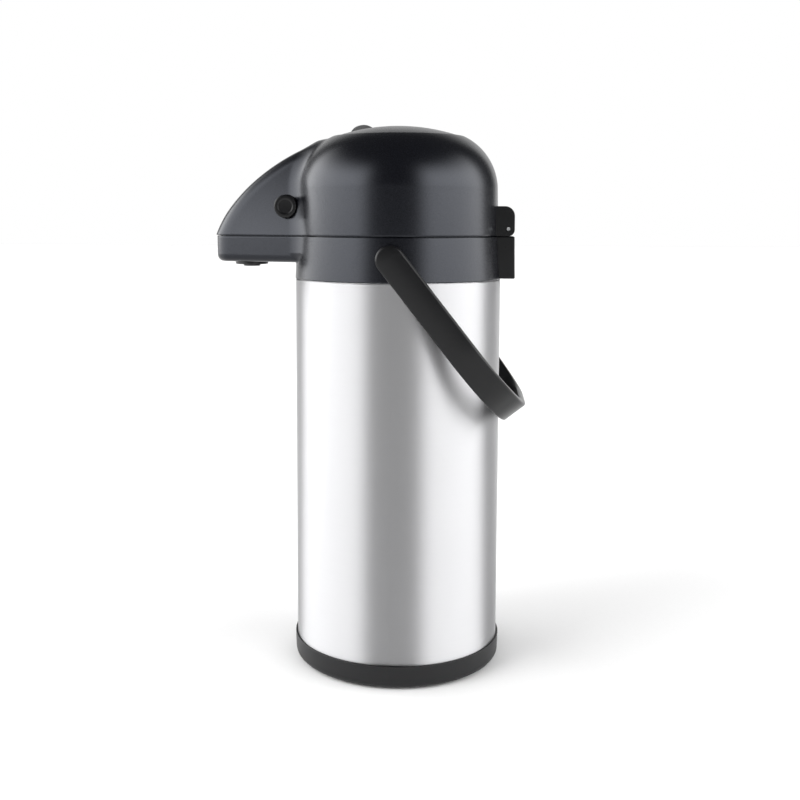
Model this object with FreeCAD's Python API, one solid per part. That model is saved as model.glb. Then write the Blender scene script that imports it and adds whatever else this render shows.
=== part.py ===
import FreeCAD, Part

# Thermal coffee airpot: a steel vacuum flask in a round base, with a collar that carries the
# lower half of the spout and the bail handle, and a hinged lid that holds the air pump.
# Millimetres. +Z is up, the flask's axis is Z, the spout points to -Y, the lid hinges at +Y,
# and the origin is the centre of the foot ring's underside.

import math
import os

V = FreeCAD.Vector

# ---- Driving dimensions ----------------------------------------------------------------------

# clearances
slip = 0.3             # between pieces that move past each other with air between them
running = 0.05         # radial play of a pin or stub that turns in its hole
seat = 0.15            # side play of a pad or ring laid in its groove
overcut = 2.0          # how far a cutting tool runs past what it cuts

# base
foot_height = 0.8      # how far the rubber foot ring stands below the base
foot_inner, foot_outer = 60.0, 68.0
foot_sunk = 1.5
foot_edge = 0.4
base_floor = 3.0
base_top = 17.6
base_lip = 1.3         # the base's wall outside the steel shell
base_flare = 0.5       # how much narrower the base is at the bottom
base_corner = 5.0
base_rim_edge, base_mouth_edge = 0.5, 0.4
screw_ring = 45.0
screw_count = 3
screw_start = 90.0     # angle of the first screw, from +X
screw_radius, screw_head_radius, screw_head_height = 1.9, 3.9, 1.4
screw_sunk = 0.2       # the head's outer face inside the base's underside
screw_end_gap = 0.5    # the shank's end below the nut's far face
slot_width, slot_depth = 1.0, 0.8
nut_radius = 5.0

# flask
body_radius = 75.0
body_top = 283.4       # where the collar stands on the shell
shell_wall = 0.8
shoulder_step = 3.2    # width of the flat ring under the collar's edge
shell_edge, step_bend, neck_bend = 1.2, 1.0, 2.5
neck_bend_drop = 0.6   # the shell's shoulder below the deck
cap_rise = 5.2         # the closing cap above the base's floor
cap_bend = 3.0
mouth_radius = 29.0
neck_gap = 3.4         # between the liner's neck and the jacket's neck
neck_rise = 13.6       # the neck's mouth above body_top
liner_wall = 0.8
liner_shoulder_drop = 14.0      # the liner's neck starts this far below the deck
liner_shoulder_height = 16.0    # and its shoulder this far below that
liner_floor_bend, liner_shoulder_bend, liner_neck_bend, liner_mouth_bend = 15.0, 26.0, 8.0, 0.4
vacuum_gap = 8.0
floor_gap = 10.0       # between the jacket's cap and the liner's floor
getter_radius, getter_height, getter_edge = 10.0, 2.5, 1.2

# collar
collar_flare = 0.4     # how far the collar's lower edge stands out from the shell
collar_height = 29.8
collar_taper = 1.7     # how much narrower the collar is at its top
collar_wall = 2.6
collar_foot_edge, collar_top_edge, collar_inner_edge = 0.4, 0.6, 0.3
deck_height = 8.1      # underside of the deck above body_top
deck_wall = 2.5
deck_relief = 4.0      # bevel of the deck's bore, over the bend of the flask's neck
skirt_slack = 0.6      # between the collar's skirt and the step in the shell
nut_ring_wall, nut_ring_height, nut_ring_edge = 8.8, 2.6, 0.6
seam = 1.0             # gap between the collar and the closed lid

# spout: the beak is split by the seam into the collar's tray and the lid's hood
beak_reach = 135.6
beak_overhang = 1.0    # how far the hood's tip stands over the tray's
beak_root_half = 36.0  # half width where the beak's sides run into the body
beak_nose_half = 10.6
beak_nose_radius = 11.0
beak_draft = 0.42      # the hood's width at the lip's height, as a share of its width at the seam
beak_root = 46.0       # distance from the axis at which beak_root_half is measured
beak_wall = 3.0
beak_edge = 5.0        # rounding of the hood's long top edges
tray_depth = 18.7
tray_edge = 5.0
nozzle_reach = 109.0
nozzle_radius, nozzle_bore, nozzle_drop = 6.2, 4.7, 2.9
nozzle_ring_radius, nozzle_ring_drop = 12.0, 1.5
nozzle_edge, nozzle_ring_edge = 0.4, 0.7
hood_overlap = 0.4     # the hood stands over the tray's sides by this
ridge_inset, ridge_sunk = 1.9, 0.6      # where the ridge leaves the dome: in from the lip and below it
brow_run, brow_fall = 0.507, 0.185      # the ridge's first bend, as shares of the beak's length and height
chin_run, chin_fall = 0.947, 0.82       # and its second

# stopper and pipes
gasket_height, gasket_lap = 1.2, 0.4      # thickness, and how far it stands back from the mouth
gasket_inset = 1.0     # and from the stopper's rim
stopper_overhang, stopper_flange_height = 2.8, 2.4    # overhang past the neck
stopper_wall, stopper_depth = 2.5, 11.0
stopper_play = 0.6     # the plug's clearance in the mouth
stopper_rim_edge, plug_edge = 0.5, 0.8
tube_offset = 10.0     # the pickup tube stands this far toward the spout
tube_radius, tube_wall = 5.0, 1.0
tube_floor_gap = 5.0   # the tube's mouth above the liner's floor
pipe_end_gap = 2.0     # the pipe's end above the tray's underside
pipe_radius, pipe_wall, pipe_bend = 4.4, 1.0, 9.0
head_radius, head_height = 8.0, 11.0
air_port_offset, air_port_radius = 15.0, 3.0
air_seal_radius, air_seal_height = 7.0, 1.8

# lid
dome_step = 0.5        # how far the lid's lower edge stands back from the collar's top edge
dome_taper = 0.7
dome_wall_height = 32.8
dome_shoulder = 42.75
dome_wall = 2.6
lip_inset = 26.5       # the button's opening inside the body's radius
lip_width = 1.2        # flat edge between the lip and the button's guide
sleeve_wall = 2.5
sleeve_depth = 34.5    # the button's guide, below the lip
plate_wall = 2.5
plate_rise = 2.0       # the lid's base plate above the lid's lower edge
lid_screw_inset, lid_screw_count = 11.2, 4      # inside the lid's lower edge
lid_screw_start = 45.0
lid_screw_post = 4.0
lid_screw_radius, lid_screw_length, lid_hole_depth = 1.4, 10.0, 12.0
lid_screw_head, lid_screw_head_height, lid_slot_width, lid_slot_depth = 3.2, 1.5, 0.8, 0.7

# push button and pump
button_gap = 1.7       # lip to button
button_rise = 8.0      # crown height above its rim
button_wall, crown_wall = 2.4, 1.4      # of the skirt, and of the crown's middle
button_edge = 0.5
rim_drop = 0.2         # the button's rim below the lip
pump_plate_wall = 2.0
skirt_hook, skirt_hook_height = 2.0, 1.8    # the stop under the guide's lower edge
bellows_gap, bellows_fold, bellows_wall, bellows_folds = 6.4, 6.0, 1.0, 6
bellows_cuff = 3.6     # the straight rim at each end
spring_radius, spring_wire, spring_turns = 20.0, 1.0, 7
valve_radius, valve_height, valve_offset = 9.0, 1.0, -3.0
clamp_wall, fold_bend = 2.0, 0.8

# lock ring and its thumb tab
tab_angle = 215.0      # from +X toward +Y, at rest
tab_turn = 25.0
tab_radius = 13.0
tab_thickness = 3.6
tab_stem_half = 7.5    # degrees each side
tab_spread = 30.0      # and of the thumb piece
tab_lift = 0.3         # the thumb piece's underside below the lip
tab_reach = 5.0        # centre of the thumb's round end, outside the tab
slot_play = 0.6        # degrees
ring_width, ring_height, ring_drop = 6.0, 3.0, 14.0

# release knobs in the sides of the hood
knob_reach = 79.0
knob_rise = 21.0       # above the lid's lower edge
knob_radius = 8.25
knob_proud = 5.5
knob_travel = 3.0
knob_flange, knob_flange_height = 9.6, 2.0
stem_radius = 2.4
stem_start = 1.0       # the stem's inner end past the spring's pressed length
latch_width, latch_thickness = 5.0, 2.4
latch_eye_wall = 3.0
latch_end_gap, latch_top_gap = 0.6, 0.5    # above the lid's lower edge, and below the stem
knob_edge = 1.6
spring_seat_half, spring_seat_reach = 7.5, 5.0     # half length and half width of its cradle
release_coil_radius, release_wire, release_turns = 3.9, 0.5, 12

# hinge
pin_stand, pin_rise = 6.8, 5.3   # behind the lid's lower edge, and above it
pin_radius = 1.25
pin_proud = 0.3
lug_half, lug_height = 15.5, 21.4
lug_rise, lug_splay = 0.4, 0.5    # the collar's lug starts above body_top, and is wider at its foot
lug_edge = 0.8
lug_root = 8.0         # how deep the lid's lug is rooted inside the dome's radius
knuckle_half, knuckle_radius = 8.0, 4.6
knuckle_root = 2.0     # how deep the knuckle is rooted below the collar's top edge
lid_swing = 95.0       # degrees the lid opens
lug_corner = 7.0

# handle
pivot_rise = 15.8      # above body_top
arm_gap = 0.4          # between a pad and its arm
strap_thickness, strap_width = 6.6, 19.6
bail_gap = 0.35        # between the resting grip and the shell
bail_shoulder = 33.5   # length of the slanted shoulders along the arms
bail_slant = 43.0      # and across them
bail_corner = 60.0
bail_edge = 1.6
bail_drop = 52.0       # degrees below level, at rest
stub_radius, stub_length = 5.0, 10.0
bush_wall, pad_radius, pad_proud = 2.0, 9.5, 0.6
bush_depth = 2.0       # the bush's inner end past the stub's
stub_root = 2.0        # how deep a stub is rooted in its arm

# ---- Dependent dimensions --------------------------------------------------------------------

base_low = foot_height
floor_top = base_low + base_floor
head_low = base_low + screw_sunk
head_top = head_low + screw_head_height
base_radius = body_radius + base_lip + slip
shell_inner = body_radius - shell_wall
neck_radius = mouth_radius + liner_wall + neck_gap
nut_ring_radius = neck_radius + nut_ring_wall
stopper_flange = neck_radius + stopper_overhang
liner_floor = floor_top + cap_rise + floor_gap
neck_top = body_top + neck_rise
liner_radius = shell_inner - vacuum_gap
seam_low = body_top + collar_height
lid_low = seam_low + seam
collar_radius = body_radius + collar_flare
deck_low = body_top + deck_height
deck_top = deck_low + deck_wall
collar_inner = collar_radius - collar_taper - collar_wall
skirt_inner = body_radius - shoulder_step + skirt_slack
tray_low = seam_low - tray_depth
gasket_low = neck_top + liner_wall
flange_low = gasket_low + gasket_height
flange_top = flange_low + stopper_flange_height
pipe_height = flange_top + head_height / 2
dome_radius = collar_radius - collar_taper - dome_step
lid_screw_ring = dome_radius - lid_screw_inset
dome_top_radius = dome_radius - dome_taper
lip_radius = body_radius - lip_inset
shoulder_z = lid_low + dome_wall_height
shoulder_r = dome_top_radius - dome_shoulder
lip_z = shoulder_z + math.sqrt(dome_shoulder ** 2 - (lip_radius - shoulder_r) ** 2)
sleeve_inner = lip_radius - lip_width
guide_outer = sleeve_inner + sleeve_wall
button_radius = lip_radius - button_gap
bellows_radius = button_radius - button_wall - bellows_gap
sleeve_low = lip_z - sleeve_depth
plate_low = lid_low + plate_rise
plate_top = plate_low + plate_wall
ring_inner = guide_outer + slip
ring_low = lip_z - ring_drop
rim_z = lip_z - rim_drop
pump_top = rim_z - button_wall + crown_wall - pump_plate_wall
pin_y = dome_radius + pin_stand
pin_z = lid_low + pin_rise
lug_back = pin_y + knuckle_radius
pivot_height = body_top + pivot_rise
bush_radius = stub_radius + running + bush_wall
pad_face = collar_radius + pad_proud
arm_inner = collar_radius + pad_proud + arm_gap
bush_end = arm_inner - stub_length - bush_depth
drop_sine, drop_cosine = math.sin(math.radians(bail_drop)), math.cos(math.radians(bail_drop))
grip_reach = (body_radius + bail_gap + strap_width / 2 * drop_sine) / drop_cosine
bail_reach = grip_reach + strap_thickness
knob_z = lid_low + knob_rise
beak_slope = (beak_root_half - beak_nose_half) / (beak_reach - beak_root)
knob_share = 1 - (1 - beak_draft) * knob_rise / (lip_z - lid_low)
knob_face = knob_share * (beak_root_half - beak_slope * (knob_reach - beak_root))
side_lean = (1 - beak_draft) / (lip_z - lid_low) * knob_face / knob_share
knob_lean = math.hypot(knob_share * beak_slope, side_lean)
flange_face = knob_face - beak_wall - slip - knob_flange * knob_lean
latch_face = flange_face - knob_flange_height


# ---- Drawing helpers -------------------------------------------------------------------------

def on_xy(p):
    return V(p.x, p.y, 0)


def on_xz(p):
    return V(p.x, 0, p.y)


def on_yz(p):
    return V(0, p.x, p.y)


def outline(corners, lay, closed=True):
    """A wire through corners (a, b, radius), each rounded by its radius and laid in a plane."""
    last = len(corners) - 1
    runs, arcs = [], []
    for i, (a, b, radius) in enumerate(corners):
        here = V(a, b, 0)
        if radius == 0 or (not closed and i in (0, last)):
            runs.append((here, here))
            arcs.append(None)
            continue
        before = (V(*corners[i - 1][:2], 0) - here).normalize()
        after = (V(*corners[(i + 1) % (last + 1)][:2], 0) - here).normalize()
        half = before.getAngle(after) / 2
        centre = here + (before + after).normalize() * (radius / math.sin(half))
        reach = radius / math.tan(half)
        runs.append((here + before * reach, here + after * reach))
        arcs.append(centre + (here - centre).normalize() * radius)
    edges = []
    for i, (start, end) in enumerate(runs):
        if arcs[i]:
            edges.append(Part.Arc(lay(start), lay(arcs[i]), lay(end)).toShape())
        following = runs[(i + 1) % (last + 1)][0]
        if (closed or i < last) and (following - end).Length > 1e-6:
            edges.append(Part.LineSegment(lay(end), lay(following)).toShape())
    return Part.Wire(edges)


def turned(corners):
    """A solid of revolution about Z from its half section (r, z, corner radius)."""
    return Part.Face(outline(corners, on_xz)).revolve(V(0, 0, 0), V(0, 0, 1), 360)


def turned_wall(path, wall):
    """A thin shell of revolution: an open path (r, z, radius), thickened by wall on one side."""
    line = outline(path, on_xz, closed=False)
    return line.makeOffset2D(wall, 0, True, True, False).revolve(V(0, 0, 0), V(0, 0, 1), 360)


def slab(corners, low, high):
    """An outline in plan (x, y, radius), extruded between two heights."""
    solid = Part.Face(outline(corners, on_xy)).extrude(V(0, 0, high - low))
    solid.translate(V(0, 0, low))
    return solid


def side_slab(corners, start, end):
    """A side outline (y, z, radius), extruded from x = start to x = end."""
    solid = Part.Face(outline(corners, on_yz)).extrude(V(end - start, 0, 0))
    solid.translate(V(start, 0, 0))
    return solid


def rod(radius, start, end):
    return Part.makeCylinder(radius, (end - start).Length, start, end - start)


def disc(radius, low, high, x=0.0, y=0.0):
    return rod(radius, V(x, y, low), V(x, y, high))


def ring(outer, inner, low, high, x=0.0, y=0.0):
    return disc(outer, low, high, x, y).cut(disc(inner, low, high, x, y))


def block(x0, x1, y0, y1, z0, z1):
    return Part.makeBox(x1 - x0, y1 - y0, z1 - z0, V(x0, y0, z0))


def polar(radius, degrees):
    return radius * math.cos(math.radians(degrees)), radius * math.sin(math.radians(degrees))


def around(count, radius, first=0.0):
    """Points (x, y) evenly spaced on a circle."""
    return [polar(radius, first + 360.0 * i / count) for i in range(count)]


def sector(outer, inner, low, high, start, end):
    """A piece of a ring between two angles in degrees, counted from +X toward +Y."""
    face = Part.Face(Part.makePolygon([V(inner, 0, low), V(outer, 0, low), V(outer, 0, high),
                                       V(inner, 0, high), V(inner, 0, low)]))
    face.rotate(V(0, 0, 0), V(0, 0, 1), start)
    return face.revolve(V(0, 0, 0), V(0, 0, 1), end - start)


def coil(radius, wire, length, turns):
    """A helical spring standing on the origin, its axis along Z."""
    path = Part.makeHelix((length - 2 * wire) / turns, length - 2 * wire, radius)
    section = Part.Wire(Part.makeCircle(wire, V(radius, 0, 0), V(0, 1, 0)))
    spring = Part.Wire(path.Edges).makePipeShell([section], True, True)
    spring.translate(V(0, 0, wire))
    return spring


def joined(first, *others):
    return first.fuse(list(others)).removeSplitter()


def rounded(solid, radius, choose):
    """Fillets the edges that choose(middle point, edge) picks."""
    picked = [e for e in solid.Edges if choose(e.valueAt((e.FirstParameter + e.LastParameter) / 2), e)]
    return solid.makeFillet(radius, picked)


def at(value, place):
    """Whether an edge's middle lies at a place, within the rounding of the geometry kernel."""
    return abs(value - place) < 0.1


def reach_radius(before, corner, after, reach):
    """The radius that rounds a corner with its tangent points this far from it."""
    a = (V(*before, 0) - V(*corner, 0)).normalize()
    b = (V(*after, 0) - V(*corner, 0)).normalize()
    return reach * math.tan(a.getAngle(b) / 2)


# ---- Base ------------------------------------------------------------------------------------

def base_ring():
    shape = turned([
        (base_radius, base_top, base_rim_edge), (body_radius + slip, base_top, base_mouth_edge),
        (body_radius + slip, floor_top, 0), (0, floor_top, 0), (0, base_low, 0),
        (base_radius - base_flare, base_low, base_corner)])
    shape = shape.cut(ring(foot_outer + seat, foot_inner - seat, base_low, base_low + foot_sunk))
    for x, y in around(screw_count, screw_ring, screw_start):
        shape = shape.cut(disc(screw_radius + slip, base_low, floor_top, x, y))
        shape = shape.cut(disc(screw_head_radius + slip, base_low, head_top, x, y))
    return shape


def foot_ring():
    return turned([
        (foot_outer, base_low + foot_sunk, 0), (foot_inner, base_low + foot_sunk, 0),
        (foot_inner, 0, foot_edge), (foot_outer, 0, foot_edge)])


def base_screws():
    screws = []
    shank_top = floor_top + cap_rise - shell_wall - screw_end_gap
    for x, y in around(screw_count, screw_ring, screw_start):
        head = disc(screw_head_radius, head_low, head_top, x, y)
        shank = disc(screw_radius, head_top, shank_top, x, y)
        slot = block(x - screw_head_radius, x + screw_head_radius, y - slot_width / 2, y + slot_width / 2,
                     head_low, head_low + slot_depth)
        screws.append(joined(head, shank).cut(slot))
    return Part.makeCompound(screws)


def base_nuts():
    return Part.makeCompound([
        ring(nut_radius, screw_radius, floor_top, floor_top + cap_rise - shell_wall, x, y)
        for x, y in around(screw_count, screw_ring, screw_start)])


# ---- Flask -----------------------------------------------------------------------------------

def outer_shell():
    step_end = body_radius - shoulder_step
    return turned_wall([
        (body_radius, floor_top, 0), (body_radius, body_top, shell_edge), (step_end, body_top, step_bend),
        (neck_radius, deck_low - neck_bend_drop, neck_bend), (neck_radius, neck_top, 0)], shell_wall)


def shell_cap():
    return turned_wall([
        (0, floor_top + cap_rise, 0), (shell_inner, floor_top + cap_rise, cap_bend),
        (shell_inner, floor_top, 0)], -shell_wall)


def inner_liner():
    neck_low = deck_low - liner_shoulder_drop
    return turned_wall([
        (0, liner_floor, 0), (liner_radius, liner_floor, liner_floor_bend),
        (liner_radius, neck_low - liner_shoulder_height, liner_shoulder_bend),
        (mouth_radius + liner_wall, neck_low, liner_neck_bend),
        (mouth_radius + liner_wall, neck_top, liner_mouth_bend),
        (neck_radius, neck_top, 0)], liner_wall)


def getter_cup():
    return turned([
        (getter_radius, liner_floor, 0), (0, liner_floor, 0), (0, liner_floor - getter_height, 0),
        (getter_radius, liner_floor - getter_height, getter_edge)])


# ---- Collar ----------------------------------------------------------------------------------

def beak_plan(grow, tip, share=1.0):
    """The beak seen from above: share of its width, grown sideways by grow, its tip at y = -tip."""
    root = beak_root_half * share + grow
    nose = beak_nose_half * share + grow
    radius = beak_nose_radius * share + grow
    return [(-root, -beak_root, 0), (-nose, -tip, radius), (nose, -tip, radius), (root, -beak_root, 0)]


def collar():
    bore = neck_radius + slip
    shape = turned([
        (collar_radius, body_top, collar_foot_edge),
        (collar_radius - collar_taper, seam_low, collar_top_edge),
        (collar_inner, seam_low, collar_inner_edge), (collar_inner, deck_top, 0), (bore, deck_top, 0),
        (bore, deck_low + deck_relief / 2, 0), (bore + deck_relief, deck_low, 0),
        (skirt_inner, deck_low, 0), (skirt_inner, body_top, 0)])
    tray = slab(beak_plan(0, beak_reach - beak_overhang), tray_low, seam_low)
    tray = rounded(tray, tray_edge, lambda m, e: at(m.z, tray_low) and m.y < -beak_root - 1)
    lug = side_slab([
        (collar_inner, body_top + lug_rise, 0), (lug_back + lug_splay, body_top + lug_rise, lug_edge),
        (lug_back, seam_low, lug_edge), (collar_inner, seam_low, 0)], -lug_half, lug_half)
    root = seam_low - knuckle_root
    heel = pin_y - slip - (pin_z - root) * math.tan(math.radians(lid_swing - 90))
    knuckle = side_slab([
        (pin_y - knuckle_radius, root, 0), (heel, root, 0), (pin_y, pin_z, 0),
        (pin_y - knuckle_radius, pin_z, 0)], -knuckle_half, knuckle_half)
    left, right = V(-knuckle_half, pin_y, pin_z), V(knuckle_half, pin_y, pin_z)
    knuckle = knuckle.fuse(rod(knuckle_radius, left, right))
    inside = disc(collar_inner, deck_top, seam_low)
    under = disc(skirt_inner, body_top, deck_low)
    shape = joined(shape, tray.cut(inside), lug.cut(inside).cut(under), knuckle)
    tip = beak_reach - beak_overhang
    hollow = slab(beak_plan(-beak_wall, tip - beak_wall), tray_low + deck_wall, seam_low)
    shape = shape.cut(hollow)
    for side in (1, -1):
        start, end = V(side * bush_end, 0, pivot_height), V(side * pad_face, 0, pivot_height)
        boss = rod(pad_radius, start, end).cut(disc(collar_radius, pivot_height - pad_radius, deck_low))
        shape = shape.fuse(boss).cut(rod(bush_radius, start, end))
    shape = shape.cut(disc(nozzle_ring_radius, tray_low - overcut, tray_low + deck_wall, 0, -nozzle_reach))
    return shape.cut(rod(pin_radius, left, right)).removeSplitter()


def pivot_bushes():
    bushes = []
    for side in (1, -1):
        start, end = V(side * bush_end, 0, pivot_height), V(side * pad_face, 0, pivot_height)
        bushes.append(rod(bush_radius, start, end).cut(rod(stub_radius + running, start, end)))
    return Part.makeCompound(bushes)


def neck_nut():
    return turned([
        (nut_ring_radius, deck_top, 0), (neck_radius, deck_top, 0),
        (neck_radius, deck_top + nut_ring_height, 0),
        (nut_ring_radius, deck_top + nut_ring_height, nut_ring_edge)])


def hinge_pin():
    end = lug_half + pin_proud
    return rod(pin_radius, V(-end, pin_y, pin_z), V(end, pin_y, pin_z))


# ---- Stopper, tubes and spout ----------------------------------------------------------------

def neck_gasket():
    return ring(stopper_flange - gasket_inset, mouth_radius + gasket_lap, gasket_low, flange_low)


def stopper():
    plug = mouth_radius - stopper_play
    plug_top = flange_top - stopper_wall
    shape = turned([
        (stopper_flange, flange_top, stopper_rim_edge), (0, flange_top, 0), (0, plug_top, 0),
        (plug - stopper_wall, plug_top, 0),
        (plug - stopper_wall, flange_low - stopper_depth, 0), (plug, flange_low - stopper_depth, plug_edge),
        (plug, flange_low, 0), (stopper_flange, flange_low, 0)])
    shape = shape.cut(disc(tube_radius, plug_top, flange_top, 0, -tube_offset))
    return shape.cut(disc(air_port_radius, plug_top, flange_top, 0, air_port_offset))


def pickup_tube():
    low = liner_floor + liner_wall + tube_floor_gap
    return ring(tube_radius, tube_radius - tube_wall, low, flange_top, 0, -tube_offset)


def siphon_head():
    centre = -tube_offset
    top = flange_top + head_height
    body = disc(head_radius, flange_top, top, 0, centre)
    bore = disc(tube_radius - tube_wall, flange_top, pipe_height, 0, centre)
    outlet = rod(pipe_radius, V(0, centre, pipe_height), V(0, centre - head_radius, pipe_height))
    return body.cut(bore).cut(outlet)


def discharge_pipe():
    start = V(0, -tube_offset - tube_radius, pipe_height)
    bend = V(0, -nozzle_reach + pipe_bend, pipe_height)
    slope = pipe_bend * (1 - math.sqrt(0.5))
    middle = V(0, -nozzle_reach + slope, pipe_height - slope)
    down = V(0, -nozzle_reach, pipe_height - pipe_bend)
    end = V(0, -nozzle_reach, tray_low + pipe_end_gap)
    path = Part.Wire([
        Part.LineSegment(start, bend).toShape(), Part.Arc(bend, middle, down).toShape(),
        Part.LineSegment(down, end).toShape()])

    def swept(radius):
        section = Part.Wire(Part.makeCircle(radius, start, V(0, 1, 0)))
        return path.makePipeShell([section], True, True)

    return swept(pipe_radius).cut(swept(pipe_radius - pipe_wall))


def outlet_nozzle():
    low = tray_low - nozzle_drop
    shape = ring(nozzle_radius, nozzle_bore, low, tray_low + deck_wall, 0, -nozzle_reach)
    return rounded(shape, nozzle_edge, lambda m, e: at(m.z, low))


def nozzle_ring():
    low = tray_low - nozzle_ring_drop
    shape = ring(nozzle_ring_radius, nozzle_radius, low, tray_low + deck_wall, 0, -nozzle_reach)
    outer = 2 * nozzle_ring_radius - 1
    return rounded(shape, nozzle_ring_edge, lambda m, e: at(m.z, low) and e.BoundBox.XLength > outer)


# ---- Lid -------------------------------------------------------------------------------------

def ridge_line(drop):
    """The beak's top edge seen from the side, lowered by drop, from the lip down to the tip."""
    back = (-(lip_radius - ridge_inset), lip_z - ridge_sunk - drop)
    tip = (-(beak_reach - drop), lid_low)
    length, height = back[0] - tip[0], back[1] - tip[1]
    brow = (back[0] - brow_run * length, back[1] - brow_fall * height)
    chin = (back[0] - chin_run * length, back[1] - chin_fall * height)
    curl = math.dist(chin, tip)
    sweep = math.dist(brow, chin) - curl
    return [
        (*back, 0), (*brow, reach_radius(back, brow, chin, sweep)),
        (*chin, reach_radius(brow, chin, tip, curl)), (*tip, 0)]


def hood(grow, drop, rounding):
    """The upper half of the beak, as a solid block."""
    tip = beak_reach + 1 + grow
    low = outline(beak_plan(grow, tip), on_xy)
    low.translate(V(0, 0, lid_low))
    high = outline(beak_plan(grow, tip, beak_draft), on_xy)
    high.translate(V(0, 0, lip_z))
    plan = Part.makeLoft([low, high], True, True)
    inner_y = -(beak_root - 8)
    side = ridge_line(drop)
    side += [(inner_y, lid_low, 0), (inner_y, side[0][1], 0)]
    half = beak_root_half + 10
    shape = plan.common(side_slab(side, -half, half))
    if rounding:
        shape = rounded(shape, rounding, lambda m, e: (
            abs(m.x) > 2 and e.BoundBox.ZLength > 3 and e.BoundBox.YLength > 0.8 and m.z > lid_low + 1))
    return shape


def dome_section(drop):
    """The dome's outer line from its lower edge to the lip, lowered by drop."""
    radius = dome_shoulder - drop
    angle = math.acos((lip_radius - shoulder_r) / dome_shoulder)
    lip = shoulder_r + radius * math.cos(angle), shoulder_z + radius * math.sin(angle)
    middle = shoulder_r + radius * math.cos(angle / 2), shoulder_z + radius * math.sin(angle / 2)
    return [(dome_radius - drop, lid_low), (shoulder_r + radius, shoulder_z), middle, lip]


def dome(drop):
    """The dome as a solid of revolution, its skin lowered by drop."""
    foot, start, middle, lip = [V(r, 0, z) for r, z in dome_section(drop)]
    face = Part.Face(Part.Wire([
        Part.LineSegment(V(0, 0, lid_low), foot).toShape(), Part.LineSegment(foot, start).toShape(),
        Part.Arc(start, middle, lip).toShape(), Part.LineSegment(lip, V(0, 0, lip.z)).toShape(),
        Part.LineSegment(V(0, 0, lip.z), V(0, 0, lid_low)).toShape()]))
    return face.revolve(V(0, 0, 0), V(0, 0, 1), 360)


def lid_shell():
    lug = side_slab([
        (dome_radius - lug_root, lid_low, 0), (pin_y, lid_low, 0), (lug_back, lid_low, knuckle_radius),
        (lug_back, lid_low + lug_height, lug_corner), (dome_radius - lug_root, lid_low + lug_height, 0)],
        -lug_half, lug_half)
    outside = joined(dome(0), hood(hood_overlap, 0, beak_edge), lug)
    inside = joined(dome(dome_wall), hood(hood_overlap - beak_wall, beak_wall, 0))
    inside = inside.cut(ring(guide_outer, sleeve_inner, sleeve_low, lip_z))
    inside = inside.cut(ring(guide_outer + ring_width, sleeve_inner, sleeve_low, ring_low - slip))
    for x, y in around(lid_screw_count, lid_screw_ring, lid_screw_start):
        inside = inside.cut(disc(lid_screw_post, plate_top, lip_z, x, y))
    shape = outside.cut(inside).cut(disc(sleeve_inner, lid_low, lip_z + overcut))
    shape = shape.cut(knuckle_pocket()).cut(tab_slot())
    shape = shape.cut(rod(pin_radius + running, V(-lug_half, pin_y, pin_z), V(lug_half, pin_y, pin_z)))
    for x, y in around(lid_screw_count, lid_screw_ring, lid_screw_start):
        shape = shape.cut(disc(lid_screw_radius, plate_top, plate_top + lid_hole_depth, x, y))
    far = beak_root_half
    shape = shape.cut(rod(knob_radius + slip, V(-far, -knob_reach, knob_z), V(far, -knob_reach, knob_z)))
    return shape.removeSplitter()


def knuckle_pocket():
    """The slot in the lid's lug that the collar's knuckle turns in."""
    half = knuckle_half + slip
    radius = knuckle_radius + 2 * slip
    low, front, far = lid_low - overcut, dome_radius - running, lug_back + overcut
    return side_slab([
        (front, low, 0), (far, low, 0), (far, pin_z, 0), (pin_y + radius, pin_z, 0),
        (pin_y + radius, pin_z + radius, 0.999 * radius), (front, pin_z + radius, 0)], -half, half)


def tab_slot():
    play = tab_stem_half + slot_play
    return sector(ring_inner + tab_thickness + slip, ring_inner, ring_low, lip_z + overcut,
                  tab_angle - tab_turn - play, tab_angle + play)


def lid_plate():
    hub_low = flange_top + air_seal_height
    disc_part = disc(dome_radius - dome_wall - slip, plate_low, plate_top)
    tongue_tip = beak_reach - beak_wall - slip - plate_rise
    tongue = slab(beak_plan(-beak_wall - slip, tongue_tip), plate_low, plate_top)
    hub = disc(air_seal_radius, hub_low, plate_low, 0, air_port_offset)
    seat_low, seat_high = plate_top, knob_z - stem_radius
    cradle = block(-spring_seat_half, spring_seat_half, -knob_reach - spring_seat_reach,
                   -knob_reach + spring_seat_reach, seat_low, seat_high)
    shape = joined(disc_part, tongue, hub, cradle)
    shape = shape.cut(disc(air_port_radius, hub_low, plate_top, 0, air_port_offset))
    coil_space = release_coil_radius + release_wire
    seat_left = V(-spring_seat_half, -knob_reach, knob_z)
    seat_right = V(spring_seat_half, -knob_reach, knob_z)
    shape = shape.cut(rod(coil_space, seat_left, seat_right))
    for x, y in around(lid_screw_count, lid_screw_ring, lid_screw_start):
        shape = shape.cut(disc(screw_radius, plate_low, plate_top, x, y))
    for side in (1, -1):
        shape = shape.cut(latch_leg(side, slip + knob_travel))
    return shape


def lid_screws():
    screws = []
    head_low = plate_low - lid_screw_head_height
    for x, y in around(lid_screw_count, lid_screw_ring, lid_screw_start):
        head = disc(lid_screw_head, head_low, plate_low, x, y)
        shank = disc(lid_screw_radius, plate_low, plate_top + lid_screw_length, x, y)
        slot = block(x - lid_screw_head, x + lid_screw_head, y - lid_slot_width / 2, y + lid_slot_width / 2,
                     head_low, head_low + lid_slot_depth)
        screws.append(joined(head, shank).cut(slot))
    return Part.makeCompound(screws)


def air_seal():
    return ring(air_seal_radius, air_port_radius, flange_top + slip, flange_top + air_seal_height, 0,
                air_port_offset)


# ---- Push button and pump --------------------------------------------------------------------

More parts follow.
